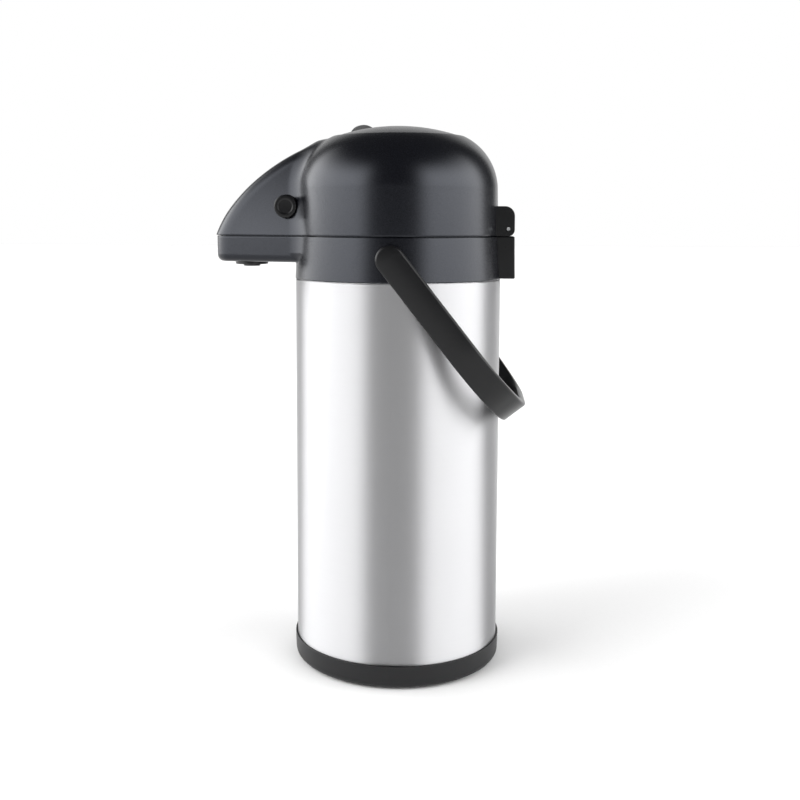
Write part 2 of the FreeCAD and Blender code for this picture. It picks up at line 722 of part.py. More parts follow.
def button_crown(radius, rim, rise):
    """A solid cap: a disc with a shallow spherical top."""
    sphere_radius = (radius ** 2 + rise ** 2) / (2 * rise)
    centre = V(0, 0, rim + rise - sphere_radius)
    sphere = Part.makeSphere(sphere_radius, centre)
    return sphere.common(disc(radius, rim, rim + rise + 1))


def push_button():
    skirt_low = sleeve_low - slip - skirt_hook_height
    crown = button_crown(button_radius, rim_z, button_rise)
    skirt = disc(button_radius, skirt_low, rim_z)
    hook = disc(button_radius + skirt_hook, skirt_low, sleeve_low - slip)
    shape = joined(crown, skirt, hook)
    inner, ceiling = button_radius - button_wall, rim_z - button_wall + crown_wall
    shape = shape.cut(disc(inner, skirt_low, ceiling).fuse(
        button_crown(inner, ceiling, button_rise - crown_wall)))
    across = 2 * button_radius - 1
    return rounded(shape, button_edge, lambda m, e: at(m.z, rim_z) and e.BoundBox.XLength > across)


def pump_plate():
    """The disc under the button's crown that the bellows and the spring push against."""
    return ring(button_radius - button_wall, spring_radius / 2, pump_top, pump_top + pump_plate_wall)


def bellows():
    low = plate_top + bellows_cuff
    pitch = (pump_top - bellows_cuff - low) / bellows_folds
    path = [(bellows_radius, plate_top, 0), (bellows_radius, low, fold_bend)]
    for i in range(bellows_folds):
        path.append((bellows_radius - bellows_fold, low + (i + 0.5) * pitch, fold_bend))
        path.append((bellows_radius, low + (i + 1) * pitch, fold_bend))
    return turned_wall(path + [(bellows_radius, pump_top, 0)], bellows_wall)


def bellows_clamp():
    inner = bellows_radius + bellows_wall + slip
    return ring(inner + clamp_wall, inner, plate_top, plate_top + bellows_cuff)


def return_spring():
    spring = coil(spring_radius, spring_wire, pump_top - plate_top, spring_turns)
    spring.translate(V(0, 0, plate_top))
    return spring


def intake_valve():
    return disc(valve_radius, plate_top, plate_top + valve_height, 0, valve_offset)


# ---- Lock ring -------------------------------------------------------------------------------

def lock_ring():
    return ring(ring_inner + ring_width, ring_inner, ring_low, ring_low + ring_height)


def lock_tab():
    inner = ring_inner + slip / 2
    outer = inner + tab_thickness - slip
    base = lip_z - tab_lift
    stem = sector(outer, inner, ring_low + ring_height, base + overcut,
                  tab_angle - tab_stem_half, tab_angle + tab_stem_half)
    wide = sector(outer, inner, base, base + tab_radius, tab_angle - tab_spread, tab_angle + tab_spread)
    x, y = polar(outer + tab_reach, tab_angle)
    thumb = rod(tab_radius, V(0, 0, base), V(x, y, base)).common(wide)
    return joined(stem, thumb)


# ---- Release knobs ---------------------------------------------------------------------------

def release_knob(side):
    outer_face = knob_face + knob_proud
    centre = V(0, -knob_reach, knob_z)

    def along(x):
        return centre + V(side * x, 0, 0)

    cap = rod(knob_radius, along(flange_face), along(outer_face))
    cap = rounded(cap, knob_edge, lambda m, e: at(abs(m.x), outer_face))
    flange = rod(knob_flange, along(latch_face), along(flange_face))
    stem = rod(stem_radius, along(knob_travel + stem_start), along(flange_face))
    return joined(cap, flange, stem)


def latch_leg(side, grow=0.0):
    """The flat hook that hangs from a knob's stem through the lid's plate."""
    inner = latch_face - latch_thickness - grow
    outer = latch_face + min(grow, slip)
    half = latch_width / 2 + min(grow, slip)
    return block(min(side * inner, side * outer), max(side * inner, side * outer), -knob_reach - half,
                 -knob_reach + half, lid_low + latch_end_gap, knob_z - stem_radius - latch_top_gap)


def latch_hook(side):
    inner = V(side * (latch_face - latch_thickness), -knob_reach, knob_z)
    outer = V(side * latch_face, -knob_reach, knob_z)
    eye = rod(stem_radius + latch_eye_wall, inner, outer)
    return joined(latch_leg(side), eye).cut(rod(stem_radius, inner, outer))


def release_spring():
    length = 2 * spring_seat_half
    spring = coil(release_coil_radius, release_wire, length, release_turns)
    spring.rotate(V(0, 0, 0), V(0, 1, 0), 90)
    spring.translate(V(-length / 2, -knob_reach, knob_z))
    return spring


# ---- Handle ----------------------------------------------------------------------------------

def handle():
    """The bail, drawn hanging straight along +Y and then turned down to its rest angle."""
    outer_x = arm_inner + strap_thickness
    half = strap_width / 2
    outside = outline([
        (outer_x, -half, 0), (outer_x, bail_reach - bail_shoulder, bail_corner),
        (outer_x - bail_slant, bail_reach, bail_corner), (bail_slant - outer_x, bail_reach, bail_corner),
        (-outer_x, bail_reach - bail_shoulder, bail_corner), (-outer_x, -half, 0)], on_xy, closed=False)
    shape = outside.makeOffset2D(-strap_thickness, 0, True, True, False).extrude(V(0, 0, strap_width))
    shape.translate(V(0, 0, -half))
    ends = rod(half, V(-outer_x, 0, 0), V(outer_x, 0, 0))
    keep = joined(block(-outer_x, outer_x, 0, bail_reach, -half, half), ends)
    shape = shape.common(keep)
    shape = rounded(shape, bail_edge, lambda m, e: True)
    for side in (1, -1):
        start, end = V(side * (arm_inner - stub_length), 0, 0), V(side * (arm_inner + stub_root), 0, 0)
        shape = shape.fuse(rod(stub_radius, start, end))
    shape.rotate(V(0, 0, 0), V(1, 0, 0), -bail_drop)
    shape.translate(V(0, 0, pivot_height))
    return shape


# ---- All pieces ------------------------------------------------------------------------------

def pieces():
    return {
        "base_ring": base_ring(),
        "foot_ring": foot_ring(),
        "base_screws": base_screws(),
        "base_nuts": base_nuts(),
        "outer_shell": outer_shell(),
        "shell_cap": shell_cap(),
        "inner_liner": inner_liner(),
        "getter_cup": getter_cup(),
        "collar": collar(),
        "pivot_bushes": pivot_bushes(),
        "neck_nut": neck_nut(),
        "hinge_pin": hinge_pin(),
        "neck_gasket": neck_gasket(),
        "stopper": stopper(),
        "pickup_tube": pickup_tube(),
        "siphon_head": siphon_head(),
        "discharge_pipe": discharge_pipe(),
        "outlet_nozzle": outlet_nozzle(),
        "nozzle_ring": nozzle_ring(),
        "lid_shell": lid_shell(),
        "lid_plate": lid_plate(),
        "lid_screws": lid_screws(),
        "air_seal": air_seal(),
        "push_button": push_button(),
        "pump_plate": pump_plate(),
        "bellows": bellows(),
        "bellows_clamp": bellows_clamp(),
        "return_spring": return_spring(),
        "intake_valve": intake_valve(),
        "lock_ring": lock_ring(),
        "lock_tab": lock_tab(),
        "release_knob_right": release_knob(1),
        "release_knob_left": release_knob(-1),
        "latch_hook_right": latch_hook(1),
        "latch_hook_left": latch_hook(-1),
        "release_spring": release_spring(),
        "handle": handle(),
    }


os.makedirs("parts", exist_ok=True)
for name, shape in pieces().items():
    solids = len(shape.Solids)
    print(f"{name}: {solids} solid(s), {shape.Volume / 1000:.2f} cm3, valid {shape.isValid()}")
    shape.exportStep(f"parts/{name}.step")
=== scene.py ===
import math

import bmesh
import bpy
import numpy as np
from bpy.props import FloatProperty, FloatVectorProperty, PointerProperty
from mathutils import Matrix, Vector


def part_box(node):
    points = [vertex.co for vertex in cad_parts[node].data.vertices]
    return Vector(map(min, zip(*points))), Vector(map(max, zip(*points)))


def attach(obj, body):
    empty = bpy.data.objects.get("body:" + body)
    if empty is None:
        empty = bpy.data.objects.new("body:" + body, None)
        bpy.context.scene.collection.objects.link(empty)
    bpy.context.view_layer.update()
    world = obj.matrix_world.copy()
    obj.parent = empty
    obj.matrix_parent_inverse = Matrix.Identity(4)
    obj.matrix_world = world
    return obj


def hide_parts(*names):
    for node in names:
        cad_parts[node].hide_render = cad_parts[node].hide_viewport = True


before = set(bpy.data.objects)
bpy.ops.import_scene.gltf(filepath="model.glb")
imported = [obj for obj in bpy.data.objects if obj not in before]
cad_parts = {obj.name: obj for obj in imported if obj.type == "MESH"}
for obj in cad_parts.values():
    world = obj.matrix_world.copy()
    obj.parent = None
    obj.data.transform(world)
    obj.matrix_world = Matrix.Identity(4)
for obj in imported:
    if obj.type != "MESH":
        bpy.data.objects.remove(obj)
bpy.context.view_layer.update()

bl_info = {
    "name": "Coffee Airpot",
    "version": (1, 0, 0),
    "blender": (4, 5, 0),
    "location": "View3D > Sidebar > Airpot",
    "description": "Builds the outer skins and finishes of a thermal coffee airpot around its CAD frame",
    "category": "Object",
}

# The airpot stands on Z, its spout points to -Y and its lid hinges at +Y. All lengths are metres.

MM = 0.001

# Places read from the frame
SHELL_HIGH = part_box("outer_shell")[1]
COLLAR_LOW, COLLAR_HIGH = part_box("collar")
LID_LOW, LID_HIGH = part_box("lid_shell")
BUTTON_LOW, BUTTON_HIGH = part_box("push_button")
PIN_LOW, PIN_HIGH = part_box("hinge_pin")
HANDLE_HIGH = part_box("handle")[1]
KNOB_LOW, KNOB_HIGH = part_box("release_knob_right")
RING_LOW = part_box("lock_ring")[0]
NOZZLE_LOW, NOZZLE_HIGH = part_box("nozzle_ring")
BUSH_LOW, BUSH_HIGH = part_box("pivot_bushes")

PIN = (PIN_LOW + PIN_HIGH) / 2
PIVOT_Z = (BUSH_LOW.z + BUSH_HIGH.z) / 2
LIP_Z = LID_HIGH.z
DOME_RADIUS = LID_HIGH.x
COLLAR_TOP = LID_LOW.z - 0.35 * MM      # the closed lid leaves a fine seam
BEAK_REACH = -LID_LOW.y
TRAY_REACH = -COLLAR_LOW.y


# ---- Sizes and colours a user may change --------------------------------------------------------

def length(name, description, default):
    return FloatProperty(name=name, description=description, default=default, min=0, unit="LENGTH",
                         subtype="DISTANCE", precision=4)


def angle(name, description, degrees):
    return FloatProperty(name=name, description=description, default=math.radians(degrees), subtype="ANGLE")


def colour(name, description, default):
    return FloatVectorProperty(name=name, description=description, default=default, min=0, max=1, size=3,
                               subtype="COLOR")


def sized(**rows):
    """Gives a group of settings its lengths: each name with millimetres and a description."""
    def add(group):
        for name, (millimetres, description) in rows.items():
            label = name.replace("_", " ").capitalize()
            group.__annotations__[name] = length(label, description, millimetres * MM)
        return group

    return add


@sized(
    wall=(2.6, "Thickness of the lid's moulding"),
    lip_radius=(48.5, "Outer edge of the opening round the push button"),
    guide_radius=(47.3, "Inner radius of the sleeve that guides the button"),
    guide_wall=(2.5, "Thickness of the button's sleeve"),
    guide_depth=(34.5, "Length of the button's sleeve below the lip"),
    wall_height=(32.8, "Height of the straight part of the dome"),
    shoulder=(42.75, "Radius of the dome's round shoulder"),
    taper=(0.7, "How much the dome narrows up to its shoulder"),
    edge=(0.7, "Rounding of the edge along the seam"),
    beak_root=(36, "Half width of the beak where it is measured at its root"),
    beak_nose=(10.6, "Half width of the beak at its tip"),
    beak_start=(46, "Distance from the axis at which the root is measured"),
    ridge_edge=(7, "Rounding of the beak's long upper edges"),
    nose_edge=(10.5, "Rounding of the beak's tip"),
    fillet=(7.5, "Hollow rounding where the beak runs out of the dome"),
    least_fillet=(0.3, "The same beside the lip, where it fades out"),
    fillet_fade=(12, "Distance from the lip over which the fillet grows"),
    overlap=(0.4, "How far the hood's sides stand over the tray's"),
    ridge_inset=(1.9, "Start of the beak's top line inside the lip"),
    ridge_sunk=(0.6, "Start of the beak's top line below the lip"),
    lip_gap=(0.9, "Space between the collar's wall and the lip inside the seam"),
    lip_wall=(1.2, "Thickness of the lip inside the seam"),
    lip_drop=(1.6, "How far that lip reaches below the lid's edge"),
    knob_gap=(0.3, "Space round a release knob in its hole"),
    slot_width=(3.9, "Width of the slot for the lock's thumb tab"))
class LidSizes(bpy.types.PropertyGroup):
    beak_draft: FloatProperty(name="Beak draft", default=0.42, min=0, max=1, subtype="FACTOR",
                              description="Share of the hood's seam width left at the lip's height")
    slot_start: angle("Slot start", "Where the tab's slot starts, from +X", 181.9)
    slot_end: angle("Slot end", "Where the tab's slot ends, from +X", 223.1)


@sized(
    taper=(1.7, "How much narrower the collar is at its top"),
    flare=(0.4, "How far the collar's lower edge stands out from the shell"),
    wall=(2.7, "Thickness of the collar's moulding"),
    edge=(0.6, "Rounding of the edge along the seam"),
    tray_depth=(18.7, "Depth of the spout's lower half"),
    tray_edge=(5, "Rounding of the tray's lower edges"),
    deck_height=(8.1, "Underside of the deck above the collar's lower edge"),
    deck_wall=(2.5, "Thickness of the deck"),
    skirt_inner=(72.4, "Inner radius of the collar's skirt"),
    neck_bore=(33.5, "Hole in the deck for the flask's neck"),
    fillet=(7, "Hollow rounding where the tray runs out of the collar"),
    under_fillet=(1.2, "The same where the tray's underside meets the collar"),
    pad_root=(69, "Where the pads start, inside the collar's wall"),
    bore_play=(0.05, "Space round the nozzle's ring and the pivot bushes"),
    pad_radius=(9.5, "Radius of the raised pads behind the handle's ends"))
class CollarSizes(bpy.types.PropertyGroup):
    pass


@sized(
    half_width=(15.5, "Half the width of the hinge blocks"),
    cover_height=(21.4, "Height of the lid's hinge block above the seam"),
    cover_corner=(7, "Rounding of the hinge block's upper back corner"),
    knuckle_half=(8, "Half the width of the collar's knuckle"),
    knuckle_radius=(4.6, "Radius of the knuckle round the pin"),
    bevel=(0.8, "Rounding of the hinge blocks' edges"),
    knuckle_bevel=(0.4, "Rounding of the knuckle's edges"),
    root=(69.5, "Where the blocks start, inside the lid's and the collar's walls"),
    pocket_root=(73, "Where the pocket for the knuckle starts"),
    play=(0.3, "Space round the knuckle in its pocket"),
    pin_bore=(1.3, "Radius of the pin's hole in the lid's block"),
    foot_rise=(0.4, "Lower edge of the foot block above the collar's"),
    foot_gap=(0.2, "Space between the two blocks when the lid is closed"))
class HingeSizes(bpy.types.PropertyGroup):
    pass


@sized(
    radius=(46.8, "Outer radius of the button's skirt"),
    rise=(8, "Height of the crown above its rim"),
    wall=(2.4, "Thickness of the skirt"),
    crown_wall=(1.4, "Thickness of the crown"),
    edge=(0.9, "Rounding of the crown's rim"),
    edge_width=(1.2, "Part of the radius that the rounded rim takes"),
    stop_height=(1.8, "Height of the stop at the skirt's foot"),
    corner=(0.3, "Rounding of the skirt's corners"))
class ButtonSizes(bpy.types.PropertyGroup):
    pass


@sized(
    radius=(8.25, "Radius of a release knob"),
    edge=(1.1, "Rounding of the knob's rim"),
    rim=(2.6, "Width of the raised rim round the knob's face"),
    dish=(0.4, "Depth of the face inside the rim"),
    stem=(2.4, "Radius of the stem"),
    flange=(2, "Thickness of the flange behind the cap"),
    soft=(0.8, "Rounding inside the rim"))
class KnobSizes(bpy.types.PropertyGroup):
    pass


@sized(
    thickness=(6.6, "Thickness of the strap"),
    width=(19.6, "Width of the strap"),
    shoulder=(33.5, "Length of the slanted shoulders along the arms"),
    slant=(43, "Width of the slanted shoulders"),
    corner=(60, "Rounding of the strap's bends"),
    edge=(1.6, "Rounding of the strap's long edges"),
    stub_radius=(5, "Radius of the pivot stubs"),
    stub_length=(10, "How far the pivot stubs reach into the collar"))
class HandleSizes(bpy.types.PropertyGroup):
    drop: angle("Drop", "Angle of the resting handle below level", 52)


class Finishes(bpy.types.PropertyGroup):
    charcoal: colour("Charcoal", "Lid and collar plastic", (0.0022, 0.0024, 0.0036))
    black: colour("Black", "Handle, knobs and hinge plastic", (0.0030, 0.0031, 0.0036))
    base: colour("Base", "Plastic of the base ring", (0.0035, 0.0036, 0.0042))
    steel: colour("Steel", "Brushed shell", (0.55, 0.55, 0.56))
    flask: colour("Flask steel", "Inner flask and hidden steel", (0.55, 0.56, 0.57))
    natural: colour("Natural", "Inner pump parts", (0.55, 0.55, 0.53))
    silicone: colour("Silicone", "Seals and valve", (0.60, 0.60, 0.58))
    rubber: colour("Rubber", "Foot ring", (0.012, 0.012, 0.013))
    bellows: colour("Bellows", "Pump bellows", (0.45, 0.45, 0.43))


class Studio(bpy.types.PropertyGroup):
    lens: FloatProperty(name="Lens", description="Focal length", default=48.12, unit="CAMERA",
                        subtype="DISTANCE_CAMERA")
    floor_size: length("Floor", "Half the width of the floor", 12.0)
    sun: FloatProperty(name="Key light", description="Strength of the key light", default=1.0)
    sun_angle: angle("Key softness", "Width of the key light in the sky", 28)
    sideways: angle("Azimuth", "Camera's angle round the airpot, from -Y toward +X", 93.911)
    distance: length("Distance", "Camera's distance from the airpot's axis", 0.78928)
    height: length("Height", "Camera's height above the floor", 0.326)
    pan: angle("Pan", "Camera's turn away from the axis", 0.890)
    pitch: angle("Pitch", "How far the camera looks down", 6.009)
    roll: angle("Roll", "Camera's turn about its own line of sight", 0.115)
    shift_x: FloatProperty(name="Shift X", description="Sideways lens shift", default=0.0235)
    shift_y: FloatProperty(name="Shift Y", description="Vertical lens shift", default=-0.085)


# ---- Materials ----------------------------------------------------------------------------------

class Wire:
    """One output of a material's nodes. Arithmetic on it adds Math nodes."""

    def __init__(self, finish, socket):
        self.finish, self.socket = finish, socket

    def __add__(self, other):
        return self.finish.math("ADD", self, other)

    def __sub__(self, other):
        return self.finish.math("SUBTRACT", self, other)

    def __rsub__(self, other):
        return self.finish.math("SUBTRACT", other, self)

    def __mul__(self, other):
        return self.finish.math("MULTIPLY", self, other)


class Finish:
    """A material in the making: its node tree, and the few methods that add nodes to it."""

    def __init__(self, name):
        self.material = bpy.data.materials.new(name)
        self.material.use_nodes = True
        self.tree = self.material.node_tree
        self.tree.nodes.clear()

    @classmethod
    def of_world(cls, world):
        """The same methods, for a world's nodes."""
        made = cls.__new__(cls)
        made.tree = world.node_tree
        made.tree.nodes.clear()
        return made

    def ramp(self, factor, stops):
        """A smooth curve of numbers through stops (place, value); values may pass 1."""
        top = max(value for _, value in stops)
        shade = self.node("ShaderNodeValToRGB", None, {"Fac": factor})
        elements = shade.socket.node.color_ramp.elements
        while len(elements) < len(stops):
            elements.new(1)
        for element, (place, value) in zip(elements, stops):
            element.position, element.color = place, (value / top, value / top, value / top, 1)
        return shade * top

    def node(self, kind, settings=None, inputs=None, output=0):
        """Adds a node: its settings first, then the values or wires of its sockets."""
        made = self.tree.nodes.new(kind)
        for name, value in (settings or {}).items():
            setattr(made, name, value)
        for name, value in (inputs or {}).items():
            if isinstance(value, Wire):
                self.tree.links.new(value.socket, made.inputs[name])
            else:
                made.inputs[name].default_value = value
        return Wire(self, made.outputs[output]) if made.outputs else made

    def math(self, operation, first, second):
        return self.node("ShaderNodeMath", {"operation": operation}, {0: first, 1: second})

    def stretched(self, x, y, z):
        """The piece's own coordinates, scaled on each axis."""
        place = self.node("ShaderNodeTexCoord", output=3)
        return self.node("ShaderNodeVectorMath", {"operation": "MULTIPLY"}, {0: place, 1: (x, y, z)})

    def noise(self, vector, scale=1.0, detail=2.0, roughness=0.5):
        return self.node("ShaderNodeTexNoise", None, {
            "Vector": vector, "Scale": scale, "Detail": detail, "Roughness": roughness})

    def between(self, value, low, high):
        """value, taken from 0..1 to low..high."""
        return value * (high - low) + low

    def tinted(self, factor, first, second):
        return self.node("ShaderNodeMix", {"data_type": "RGBA"}, {
            "Factor": factor, 6: (*first, 1), 7: (*second, 1)}, output=2)

    def bump(self, height, strength, distance):
        return self.node("ShaderNodeBump", None, {"Height": height, "Strength": strength, "Distance": distance})

    def surface(self, **sockets):
        """The Principled shader that ends the tree. Underscores in names stand for spaces."""
        inputs = {name.replace("_", " "): value for name, value in sockets.items()}
        shader = self.node("ShaderNodeBsdfPrincipled", None, inputs)
        self.node("ShaderNodeOutputMaterial", None, {"Surface": shader})
        return self.material


def lighter(shade, factor):
    return tuple(min(1.0, c * factor) for c in shade)


PLAIN = (1, 1, 1, 1)
COOL = (0.86, 0.9, 1, 1)        # tint of the charcoal plastic's gloss


def moulded_plastic(name, shade, roughness, grain, specular, tint=PLAIN):
    """Moulded plastic: a fine spark-eroded grain, faint flow marks and scattered dust-fine scuffs."""
    f = Finish(name)
    place = f.stretched(1, 1, 1)
    fine = f.noise(place, scale=2600, detail=3, roughness=0.6)
    broad = f.noise(place, scale=18, detail=3)
    flow = f.noise(place, scale=45, detail=4, roughness=0.6)
    scuffs = f.node("ShaderNodeTexVoronoi", {"feature": "F1"}, {"Vector": f.stretched(3, 3, 1), "Scale": 160})
    speck = f.math("LESS_THAN", scuffs, 0.05)
    base = f.tinted(broad * flow, lighter(shade, 0.86), lighter(shade, 1.35))
    rough = f.between(fine, roughness - 0.05, roughness + 0.05)
    rough = rough + f.between(flow, -0.025, 0.025) - speck * 0.04
    bump = f.bump(fine + broad * 0.25, grain, 0.06 * MM)
    return f.surface(Base_Color=base, Roughness=rough, Normal=bump, Specular_IOR_Level=specular,
                     Specular_Tint=tint)


def brushed_steel(name, shade, roughness, anisotropic, streak):
    """Steel brushed round the body: hair lines that run level, at three widths."""
    f = Finish(name)
    hair = f.noise(f.stretched(14, 14, 2600), detail=4, roughness=0.62)
    line = f.noise(f.stretched(7, 7, 700), detail=3, roughness=0.55)
    broad = f.noise(f.stretched(9, 9, 9))
    tone = hair * 0.55 + line * 0.45
    base = f.tinted(tone, lighter(shade, 1 - streak), lighter(shade, 1 + streak))
    rough = f.between(tone, roughness - 0.07, roughness + 0.07) + f.between(broad, -0.02, 0.02)
    bump = f.bump(tone, 0.12, 0.03 * MM)
    quarter_turn = 0.25     # spreads reflections across the hair lines
    return f.surface(Base_Color=base, Metallic=1.0, Roughness=rough, Normal=bump, Anisotropic=anisotropic,
                     Anisotropic_Rotation=quarter_turn)


def drawn_steel(name, shade, roughness):
    """Plain pressed or turned steel with faint tool marks."""
    f = Finish(name)
    marks = f.noise(f.stretched(300, 300, 1500), detail=3, roughness=0.6)
    cloud = f.noise(f.stretched(40, 40, 40), detail=3)
    base = f.tinted(cloud, lighter(shade, 0.85), lighter(shade, 1.1))
    rough = f.between(marks, roughness - 0.06, roughness + 0.08)
    return f.surface(Base_Color=base, Metallic=1.0, Roughness=rough, Normal=f.bump(marks, 0.1, 0.02 * MM))


def soft_material(name, shade, roughness, skin_scale, clear=0.0):
    """Rubber or silicone: matt, a little cloudy, with a fine skin."""
    f = Finish(name)
    skin = f.noise(f.stretched(1, 1, 1), skin_scale, detail=3, roughness=0.6)
    cloud = f.noise(f.stretched(1, 1, 1), scale=60, detail=3)
    base = f.tinted(cloud, lighter(shade, 0.85), lighter(shade, 1.12))
    return f.surface(Base_Color=base, Roughness=f.between(skin, roughness - 0.06, roughness + 0.06),
                     Normal=f.bump(skin, 0.25, 0.05 * MM), Transmission_Weight=clear)


materials = {}


def finish(name):
    """The material of that name, made the first time it is asked for."""
    if name not in materials:
        tint = bpy.context.scene.airpot_finishes
        makers = {
            "charcoal": lambda: moulded_plastic(name, tint.charcoal, roughness=0.27, grain=0.2, specular=0.42,
                                                tint=COOL),
            "black": lambda: moulded_plastic(name, tint.black, roughness=0.30, grain=0.12, specular=0.32),
            "base": lambda: moulded_plastic(name, tint.base, roughness=0.42, grain=0.25, specular=0.35),
            "shell_steel": lambda: brushed_steel(name, tint.steel, roughness=0.5, anisotropic=0.95,
                                                 streak=0.05),
            "flask_steel": lambda: drawn_steel(name, tint.flask, roughness=0.28),
            "screw_steel": lambda: drawn_steel(name, lighter(tint.flask, 1.05), roughness=0.24),
            "spring_wire": lambda: drawn_steel(name, lighter(tint.flask, 0.85), roughness=0.32),
            "natural": lambda: moulded_plastic(name, tint.natural, roughness=0.45, grain=0.15, specular=0.5),
            "silicone": lambda: soft_material(name, tint.silicone, roughness=0.42, skin_scale=900, clear=0.2),
            "rubber": lambda: soft_material(name, tint.rubber, roughness=0.62, skin_scale=1500),
            "bellows": lambda: soft_material(name, tint.bellows, roughness=0.5, skin_scale=700),
        }
        materials[name] = makers[name]()
    return materials[name]


# ---- Mesh helpers -------------------------------------------------------------------------------

def make_piece(name, points, faces, look, body, replaces=()):
    """A smooth-shaded mesh piece with its material, riding on a body."""
    mesh = bpy.data.meshes.new(name)
    mesh.from_pydata([tuple(map(float, p)) for p in points], [], faces)
    mesh.validate()
    solid = bmesh.new()
    solid.from_mesh(mesh)
    bmesh.ops.remove_doubles(solid, verts=solid.verts, dist=1e-7)
    bmesh.ops.recalc_face_normals(solid, faces=solid.faces)
    solid.to_mesh(mesh)
    solid.free()
    mesh.polygons.foreach_set("use_smooth", [True] * len(mesh.polygons))
    mesh.set_sharp_from_angle(angle=math.radians(38))
    piece = bpy.data.objects.new(name, mesh)
    bpy.context.scene.collection.objects.link(piece)
    mesh.materials.append(finish(look))
    if body:
        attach(piece, body)
    if replaces:
        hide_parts(*replaces)
    return piece


def grid_faces(rows, columns, wrap_rows=False, wrap_columns=False):
    """Quads over a grid of points kept row by row."""
    faces = []
    for i in range(rows if wrap_rows else rows - 1):
        for j in range(columns if wrap_columns else columns - 1):
            a, b = i * columns, (i + 1) % rows * columns
            k = (j + 1) % columns
            faces.append((a + j, a + k, b + k, b + j))
    return faces


def rounded_line(corners, steps):
    """Points along an open line through corners (a, b, radius), each bend rounded by its radius."""
    points = []
    for i, (a, b, radius) in enumerate(corners):
        here = Vector((a, b))
        if radius == 0 or i in (0, len(corners) - 1):
            points.append(here)
            continue
        before = (Vector(corners[i - 1][:2]) - here).normalized()
        after = (Vector(corners[i + 1][:2]) - here).normalized()
        half = before.angle(after) / 2
        centre = here + (before + after).normalized() * (radius / math.sin(half))
        start = here + before * (radius / math.tan(half)) - centre
        turn = start.angle_signed(here + after * (radius / math.tan(half)) - centre)
        for k in range(steps + 1):
            points.append(centre + Matrix.Rotation(-turn * k / steps, 2) @ start)
    return points


def lathe(name, profile, look, body, replaces=(), around=96, along="Z", centre=(0, 0, 0)):
    """A solid of revolution from its half section (r, h), a closed loop or one that ends on the axis."""
    turns = np.arange(around) * 2 * math.pi / around
    r = np.array([p[0] for p in profile])[:, None]
    h = np.array([p[1] for p in profile])[:, None]
    a, b, c = r * np.cos(turns), r * np.sin(turns), h + 0 * turns
    stacked = {"Z": (a, b, c), "X": (c, a, b)}[along]
    points = np.stack(stacked, -1).reshape(-1, 3) + np.array(centre)
    on_axis = profile[0][0] < 1e-9 and profile[-1][0] < 1e-9
    faces = grid_faces(len(profile), around, wrap_rows=not on_axis, wrap_columns=True)
    return make_piece(name, points, faces, look, body, replaces)


def side_block(name, outline, half_width, look, body):
    """A side outline of points (y, z), given a width along X."""
    n = len(outline)
    points = [(side * half_width, y, z) for side in (-1, 1) for y, z in outline]
    faces = [tuple(range(n)), tuple(range(2 * n - 1, n - 1, -1))]
    faces += [(i, n + i, n + (i + 1) % n, (i + 1) % n) for i in range(n)]
    return make_piece(name, points, faces, look, body)


def add_bevel(piece, width, segments=3):
    bevel = piece.modifiers.new("edges", "BEVEL")
    bevel.width, bevel.segments, bevel.limit_method = width, segments, "ANGLE"
    bevel.angle_limit = math.radians(38)
    bevel.harden_normals = True


def cut(piece, *tools):
    """Cuts the tools out of the piece for good, and removes them."""
    for tool in tools:
        minus = piece.modifiers.new("cut", "BOOLEAN")
        minus.operation, minus.solver, minus.object = "DIFFERENCE", "EXACT", tool
    bpy.context.view_layer.update()
    result = bpy.data.meshes.new_from_object(piece.evaluated_get(bpy.context.evaluated_depsgraph_get()))
    piece.modifiers.clear()
    piece.data = result
    for tool in tools:
        bpy.data.objects.remove(tool)


def drill(radius, start, end, around=96):
    """A plain round cutter between two points."""
    start, end = Vector(start), Vector(end)
    bm = bmesh.new()
    bmesh.ops.create_cone(bm, cap_ends=True, segments=around, radius1=radius, radius2=radius,
                          depth=(end - start).length)
    aim = (end - start).to_track_quat("Z", "Y").to_matrix().to_4x4()
    bm.transform(Matrix.Translation((start + end) / 2) @ aim)
    mesh = bpy.data.meshes.new("drill")
    bm.to_mesh(mesh)
    bm.free()
    tool = bpy.data.objects.new("drill", mesh)
    bpy.context.scene.collection.objects.link(tool)
    return tool


# ---- Rounded solids as distance fields ----------------------------------------------------------

def smooth_step(value, low, high):
    t = np.clip((value - low) / (high - low), 0, 1)
    return t * t * (3 - 2 * t)


def rounded_both(a, b, radius):
    """The space inside both fields, the edge between them rounded."""
    past_a, past_b = np.maximum(a + radius, 0), np.maximum(b + radius, 0)
    return np.minimum(np.maximum(a, b), -radius) + np.hypot(past_a, past_b)


def rounded_either(a, b, radius):
    """The space inside either field, with a hollow fillet between them."""
    near_a, near_b = np.maximum(radius - a, 0), np.maximum(radius - b, 0)
    return np.maximum(np.minimum(a, b), radius) - np.hypot(near_a, near_b)


def beak_slope(size):
    return (size.beak_root - size.beak_nose) / (BEAK_REACH - size.beak_start)


def beak_half_width(size, ahead, width_share=1.0):
    """Half the beak's width at a distance ahead of the axis."""
    return width_share * (size.beak_root - beak_slope(size) * (ahead - size.beak_start))


BEAK_BACK = 20 * MM     # the beak's block starts this far ahead of the axis, hidden in the body

# The beak's top line bends at these shares of its length and height
BROW, CHIN = (0.507, 0.185), (0.947, 0.82)


def bend(before, corner, after, reach):
    """The arc that rounds a corner, its ends this far from it: centre, radius and first end."""
    a, b = before - corner, after - corner
    a, b = a / np.linalg.norm(a), b / np.linalg.norm(b)
    half = math.acos(np.dot(a, b)) / 2
    radius = reach * math.tan(half)
    centre = corner + (a + b) / np.linalg.norm(a + b) * (radius / math.sin(half))
    return centre, radius, corner + a * reach


